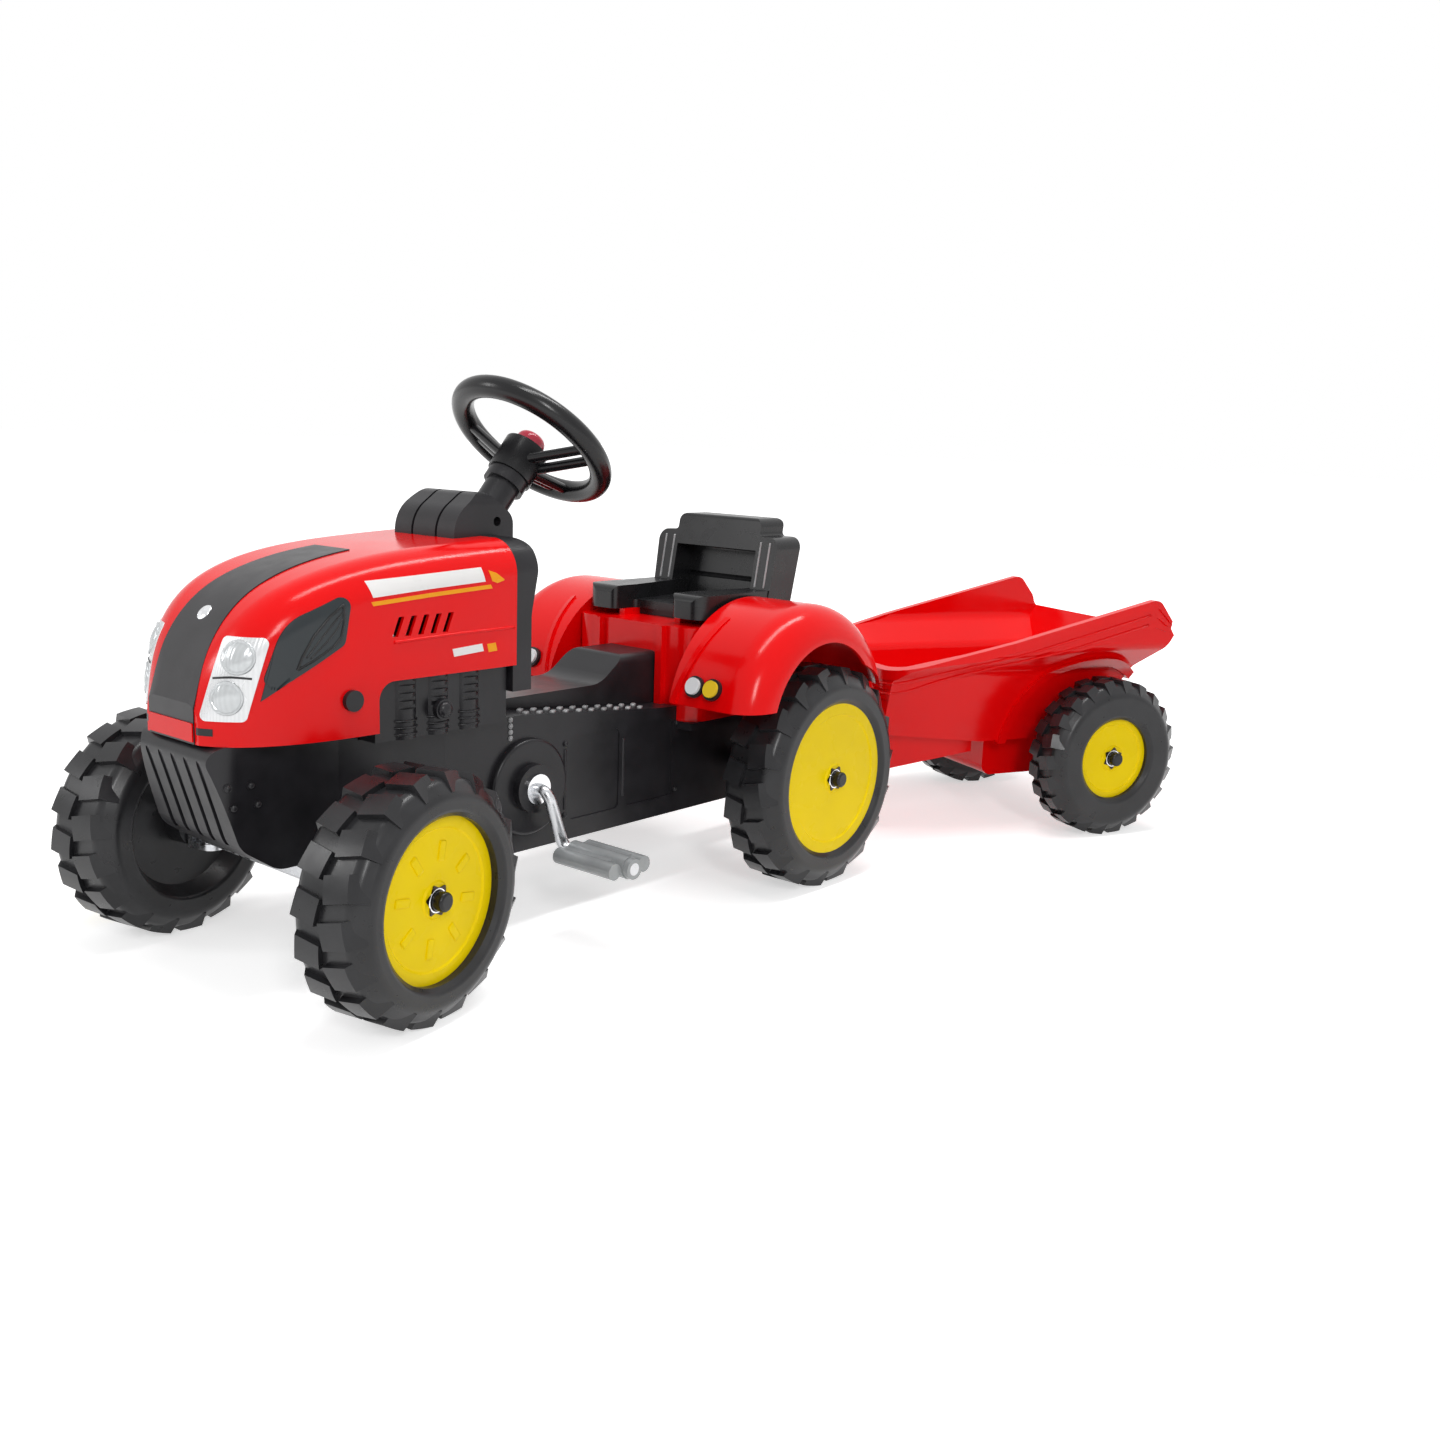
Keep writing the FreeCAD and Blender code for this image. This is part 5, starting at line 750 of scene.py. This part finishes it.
def laid_dome(name, carrier, centre, aim, radius, profile, finish, turns=dome_turns):
    """A round lens on a carrier, with a profile of radius shares and heights."""
    across = aim.cross(Vector((0, 0, 1))).normalized()
    high = across.cross(aim)
    hub = cast(carrier, centre, aim)
    corners = [hub - aim * profile[0][1], hub + aim * sink]
    for share, height in profile[1:] + [(profile[-1][0], -sink)]:
        for k in range(turns):
            angle = math.tau * k / turns
            start = centre + (across * math.cos(angle) + high * math.sin(angle)) * radius * share
            corners.append(cast(carrier, start, aim) - aim * height)
    rings = len(profile)
    faces = []
    for k in range(turns):
        nxt = (k + 1) % turns
        faces.append((0, 2 + k, 2 + nxt))
        for r in range(rings - 1):
            a, b = 2 + r * turns, 2 + (r + 1) * turns
            faces.append((a + k, b + k, b + nxt, a + nxt))
        last = 2 + (rings - 1) * turns
        faces.append((1, last + nxt, last + k))
    closed_piece(name, corners, faces, finish, "tractor")


print("domes have", dome_turns, "points round")

# %% [markdown]
# ## Stripes and crease of the hood
# Each side of the hood has a plain white flash with a thin orange line below it, a smaller flash near the engine and
# a crease that runs back from the slots. They are generic stripes, laid a third of a millimetre proud like stickers.
# The table gives the upper edge and the lower edge of each, as places ahead and up, and then how finely it is cut.

# %% Stripes and crease of the hood
sticker = 0.35 * millimetre
flashes = {
    "flash_white_": ([(531, 357), (470, 360), (408, 363)], [(526, 343), (466, 347), (404, 350)],
                     stripe_white, sheet_steps, sheet_rows),
    "flash_orange_": ([(528, 339.5), (466, 343.5), (398, 347)], [(526, 336), (465, 340), (396, 343.5)],
                      stripe_orange, sheet_steps, 2),
    "flash_tip_": ([(400, 360), (391, 357), (382, 351)], [(396, 350), (390, 348), (382, 350)],
                   stripe_orange, 10, sheet_rows),
    "flash_small_": ([(442, 292), (408, 294)], [(440, 285), (406, 287)], stripe_white, 10, sheet_rows),
    "flash_dot_": ([(402, 293), (392, 293.5)], [(400, 285.5), (390, 286)], stripe_orange, 6, sheet_rows),
}
crease = [(505, 303.5), (442, 305.2), (369, 306)]
beside_hood = 100


def flank(side, points, beside):
    """Points beside a moulding, from places ahead and up."""
    return [at(x, side * beside, z) for x, z in points]


for label, side in both_sides:
    for name, (upper, lower, finish, steps, rows) in flashes.items():
        laid_sheet(name + label, "hood", flank(side, upper, beside_hood), flank(side, lower, beside_hood),
                   inward(side), sticker, finish, steps, rows)
    laid_ridge("hood_crease_" + label, "hood", flank(side, crease, beside_hood), inward(side), 2.8 * millimetre,
               1.3 * millimetre, red_shell)

# %% [markdown]
# ## Side panels
# The tinted side panels show a leaf-shaped window: a rib runs round it, and two finer ribs lie between its upper and
# its lower edge. Below the window the panel ends in a pointed tip.

# %% Side panels
leaf_top = [(596, 288), (592, 298), (582, 315), (568, 330), (555, 339)]
leaf_low = [(596, 288), (581, 295.5), (565, 305), (558, 312.5), (555, 324)]
panel_tip = (623.5, 263.5)
beside_panel = 95
for label, side in both_sides:
    outline = flank(side, leaf_top + leaf_low[::-1], beside_panel)
    laid_ridge("window_rib_" + label, "side_panels", outline, inward(side), 2.2 * millimetre, 1.0 * millimetre,
               gloss_black, steps=90)
    for share, name in ((0.32, "window_vane_upper_"), (0.62, "window_vane_lower_")):
        vane = [(xt + (xl - xt) * share, zt + (zl - zt) * share)
                for (xt, zt), (xl, zl) in list(zip(leaf_top, leaf_low))[1:]]
        laid_ridge(name + label, "side_panels", flank(side, vane, beside_panel), inward(side), 1.5 * millimetre,
                   0.6 * millimetre, gloss_black)
    laid_sheet("panel_tip_" + label, "hood side_panels", flank(side, [(614, 301), panel_tip], beside_panel),
               flank(side, [(598, 281), panel_tip], beside_panel), inward(side), 0.6 * millimetre, tinted_panel)

# %% [markdown]
# ## Headlamps
# Each headlamp has two reflector cells, one above the other, with a grey bar between them, and a round lens in each
# cell. The lens has a raised ring and a crowned middle, so it catches the light as a moulded lens does, and its
# silver is darker than the reflector's, painted shade for the shading of the bowl.

# %% Headlamps
lens_profile = [(0.0, 0.0026), (0.3, 0.0024), (0.6, 0.0017), (0.78, 0.0008), (0.84, 0.0007), (0.88, 0.0016),
                (0.94, 0.0018), (1.0, 0.0009)]
lenses = (("upper", (629.6, 59, 297), 0.0145), ("lower", (640.2, 56.5, 264.5), 0.0138))
lamp_bar = [(645.5, 45.4, 280.5), (634.8, 57.6, 281), (624.5, 69.5, 280.5)]
for label, side in both_sides:
    into_lamp = Vector((-0.68, -0.68 * side, -0.27)).normalized()
    for reflector, (x, y, z), radius in lenses:
        laid_dome("headlamp_lens_" + reflector + "_" + label, "headlamps", at(x, side * y, z), into_lamp, radius,
                  lens_profile, lens_silver)
    laid_ridge("headlamp_bar_" + label, "headlamps", [at(x, side * y, z) for x, y, z in lamp_bar], into_lamp,
               1.8 * millimetre, 0.8 * millimetre, grille_grey)

# %% [markdown]
# ## Nose
# Below the grille strip the hood closes with a red lip, with a small slot on each side drawn as a flat black sheet,
# painted shade for the opening, and a plain round badge sits on the strip. The lip is laid on the strip's lower end,
# from one edge of the strip to the other.

# %% Nose
backward = Vector((-1, 0, 0))
laid_sheet("nose_lip", "grille_strip", [at(665, y, 243.5) for y in (-34, 0, 34)],
           [at(665, y, 228) for y in (-34, 0, 34)], backward, 1.2 * millimetre, red_shell, steps=40)
for label, side in both_sides:
    upper, lower = [[at(662 - 0.8 * (y - 38), side * y, z) for y in (39.5, 51)] for z in (240.5, 234.5)]
    into_corner = Vector((-0.71, -0.71 * side, 0)).normalized()
    # The slot is a flat black sheet, painted shade for the opening.
    laid_sheet("nose_slot_" + label, "hood", upper, lower, into_corner, sticker, gloss_black, steps=8, rows=3)
badge_profile = [(0.0, 0.0018), (0.5, 0.0016), (0.8, 0.0011), (1.0, 0.0004)]
laid_dome("nose_badge", "grille_strip", at(622, 0, 325), Vector((-0.75, 0, -0.66)).normalized(), 0.0075,
          badge_profile, mirror_silver)

# %% [markdown]
# ## Ribs of the trailer's rim
# The trailer's rim is rolled over and stiffened by two ribs that run round its outside, from one rear corner past the
# front to the other. The trailer stands turned on its hitch, so the path is drawn in its own directions, ahead and
# left of its axle, and each point of the path has its own aim, which turns round the corners. The table gives half
# of the path, as ahead, left and the angle of the aim.

# %% Ribs of the trailer's rim
trailer_left = Vector(joints["trailer_wheel_left_spin"]["axis"]).normalized()
trailer_ahead = trailer_left.cross(Vector((0, 0, 1)))
axle_middle = (Vector(joints["trailer_wheel_left_spin"]["pos_m"])
               + Vector(joints["trailer_wheel_right_spin"]["pos_m"])) / 2
rim_front_x, rim_rear_x, rim_front_z, rim_rear_z = 298, -68, 214, 300
half_rim = [(-56, 146, 90), (20, 146, 90), (100, 146, 90), (150, 146, 87), (200, 139, 82), (245, 133, 80),
            (262, 126, 70), (277, 117, 52), (289, 104, 35), (296, 90, 15), (298, 70, 2), (298, 35, 0)]
whole_rim = half_rim + [(298, 0, 0)] + [(x, -y, -angle) for x, y, angle in half_rim[::-1]]
rim_aims = [-(trailer_ahead * math.cos(math.radians(angle)) + trailer_left * math.sin(math.radians(angle)))
            for x, y, angle in whole_rim]
for name, depth in (("rim_rib_upper", 18), ("rim_rib_lower", 30.5)):
    rim_path = []
    for x, y, angle in whole_rim:
        z = rim_front_z + (rim_rear_z - rim_front_z) * (rim_front_x - x) / (rim_front_x - rim_rear_x) - depth
        rim_path.append(Vector((axle_middle.x, axle_middle.y, 0))
                        + (trailer_ahead * x + trailer_left * y + Vector((0, 0, z))) * millimetre)
    laid_ridge(name, "trailer_bed", rim_path, rim_aims, 3.2 * millimetre, 1.6 * millimetre, red_shell, "trailer",
               steps=144)

# %% [markdown]
# ## Ribs of the seat
# The seat back is stiffened by ribs at the edges of its middle panel and along its bolsters, and they are pale grey,
# painted highlight for the shine on their crests.
# They ride with the seat, which slides to suit the child's legs.

# %% Ribs of the seat
for label, side in both_sides:
    for name, y in (("seat_rib_outer_", 79), ("seat_rib_inner_", 66)):
        laid_ridge(name + label, "seat_shell", [at(-5, side * y, z) for z in (317, 342, 368)], backward,
                   2.4 * millimetre, 1.2 * millimetre, tread_wear, "seat")

# %% [markdown]
# ## Seams of the chassis and webs of the pedals
# The chassis is two half shells, and upright ribs cover their joints. The pedals are solid blocks with rounded edges,
# so webs fill the grooves on both sides of the boss and leave its bore free for the crank.

# %% Seams of the chassis and webs of the pedals
web_inner, web_outer, web_half_height = 0.0095, 0.020, 0.0072
web_start, web_end = 0.0008, 0.013
box_faces = ((0, 1, 3, 2), (4, 6, 7, 5), (0, 4, 5, 1), (2, 3, 7, 6), (0, 2, 6, 4), (1, 5, 7, 3))
for label, side in both_sides:
    for name, x in (("seam_rear_", 194.5), ("seam_front_", 278)):
        laid_ridge(name + label, "chassis_frame", [at(x, side * 90, z) for z in (110, 140, 172)],
                   inward(side), 3.4 * millimetre, 1.4 * millimetre, charcoal)
    low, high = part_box("pedal_" + label)
    middle = (low + high) / 2
    near, far = sorted((abs(low.y - under_axle.y), abs(high.y - under_axle.y)))
    corners, faces = [], []
    for x_low, x_high in ((-web_outer, -web_inner), (web_inner, web_outer)):
        first = len(corners)
        corners += [Vector((middle.x + x, under_axle.y + side * y, middle.z + z))
                    for x in (x_low, x_high) for y in (near + web_start, far - web_end)
                    for z in (-web_half_height, web_half_height)]
        faces += [tuple(first + i for i in face) for face in box_faces]
    closed_piece("pedal_webs_" + label, corners, faces, pedal_grey, "pedal_" + label, smooth=False)

# %% [markdown]
# ## White surroundings
# The studio is a white floor under soft light. Floor and world are white only for rays that the camera or a shiny
# surface sends out, and a plain grey for lighting, so the ground is white without flooding the object.

# %% White surroundings
lighting_level, seen_level = 0.45, 1.0
scene.view_settings.view_transform = "Standard"


def seen_rays(tree):
    """One for rays from the camera, or through or off a shiny surface, and zero for the rest."""
    path = tree.nodes.new("ShaderNodeLightPath")
    rays = path.outputs["Is Camera Ray"]
    for kind in ("Is Glossy Ray", "Is Transmission Ray"):
        either = tree.nodes.new("ShaderNodeMath")
        either.operation = "MAXIMUM"
        tree.links.new(rays, either.inputs[0])
        tree.links.new(path.outputs[kind], either.inputs[1])
        rays = either.outputs["Value"]
    return rays


world = bpy.data.worlds.new("studio")
scene.world = world
world.use_nodes = True
sky = world.node_tree
background = sky.nodes["Background"]
background.inputs["Color"].default_value = (1, 1, 1, 1)
level = add_node(sky, "ShaderNodeMapRange", Value=seen_rays(sky))
level.inputs["To Min"].default_value = lighting_level
level.inputs["To Max"].default_value = seen_level
sky.links.new(level.outputs["Result"], background.inputs["Strength"])
print("world", world.name, "lights with", lighting_level)

# %% [markdown]
# ## Floor
# Near the object the floor keeps its own shading, and with it the shadow, and further out it fades into the white.

# %% Floor
floor_size = 30.0
fade_start, fade_end, near_glow = 0.7, 2.6, 0.55
floor_mesh = bpy.data.meshes.new("floor")
floor_corners = [(-1, -1), (1, -1), (1, 1), (-1, 1)]
floor_mesh.from_pydata([(x * floor_size, y * floor_size, 0) for x, y in floor_corners], [], [(0, 1, 2, 3)])
floor = bpy.data.objects.new("floor", floor_mesh)
scene.collection.objects.link(floor)
pale, tree, shader, place = new_finish("pale_floor")
tree.links.new(blend_colours(tree, noise(tree, place, 3.0), (0.86, 0.86, 0.86), (0.88, 0.88, 0.88)),
               shader.inputs["Base Color"])
shader.inputs["Roughness"].default_value = 0.9
shader.inputs["Specular IOR Level"].default_value = 0.0
distance = tree.nodes.new("ShaderNodeVectorMath")
distance.operation = "LENGTH"
tree.links.new(place, distance.inputs[0])
fade = add_node(tree, "ShaderNodeMapRange", Value=distance.outputs["Value"])
fade.interpolation_type = "SMOOTHSTEP"
fade.inputs["From Min"].default_value = fade_start
fade.inputs["From Max"].default_value = fade_end
fade.inputs["To Min"].default_value = near_glow
fade.inputs["To Max"].default_value = 1.0
glow = tree.nodes.new("ShaderNodeMath")
glow.operation = "MULTIPLY"
tree.links.new(fade.outputs["Result"], glow.inputs[0])
tree.links.new(seen_rays(tree), glow.inputs[1])
tree.links.new(glow.outputs["Value"], shader.inputs["Emission Strength"])
shader.inputs["Emission Color"].default_value = (1, 1, 1, 1)
floor_mesh.materials.append(pale)
print("floor fades from", fade_start, "to", fade_end, "m")

# %% [markdown]
# ## Soft boxes
# Three strip lights model the shapes: a long one overhead draws the highlight along the crest of the hood, a key
# stands ahead on the left, and a weaker one fills in from ahead on the right.

# %% Soft boxes


def soft_box(name, place, aim, run, width, height, power):
    """A strip light that looks at a point, with its width along a direction."""
    light = bpy.data.lights.new(name, "AREA")
    light.shape = "RECTANGLE"
    light.energy = power
    light.size = width
    light.size_y = height
    holder = bpy.data.objects.new(name, light)
    back = (Vector(place) - Vector(aim)).normalized()
    level_run = (Vector(run) - back * back.dot(Vector(run))).normalized()
    turn = Matrix((level_run, back.cross(level_run), back)).transposed().to_4x4()
    holder.matrix_world = Matrix.Translation(place) @ turn
    scene.collection.objects.link(holder)


soft_box("overhead", (-0.2, 0.3, 2.5), aim=(-0.2, 0.15, 0.2), run=(1, 0, 0), width=2.4, height=0.3, power=36)
soft_box("key", (2.0, 2.4, 1.8), aim=(0.1, 0, 0.25), run=(0, 0, 1), width=1.0, height=0.4, power=30)
soft_box("side", (2.6, -1.6, 1.4), aim=(0.2, 0, 0.25), run=(0, 0, 1), width=1.0, height=0.4, power=14)

# %% [markdown]
# ## End
# The visual model must keep the CAD model's size; the CAD nodes are left at theirs.

# %% Finish
print("scene built")
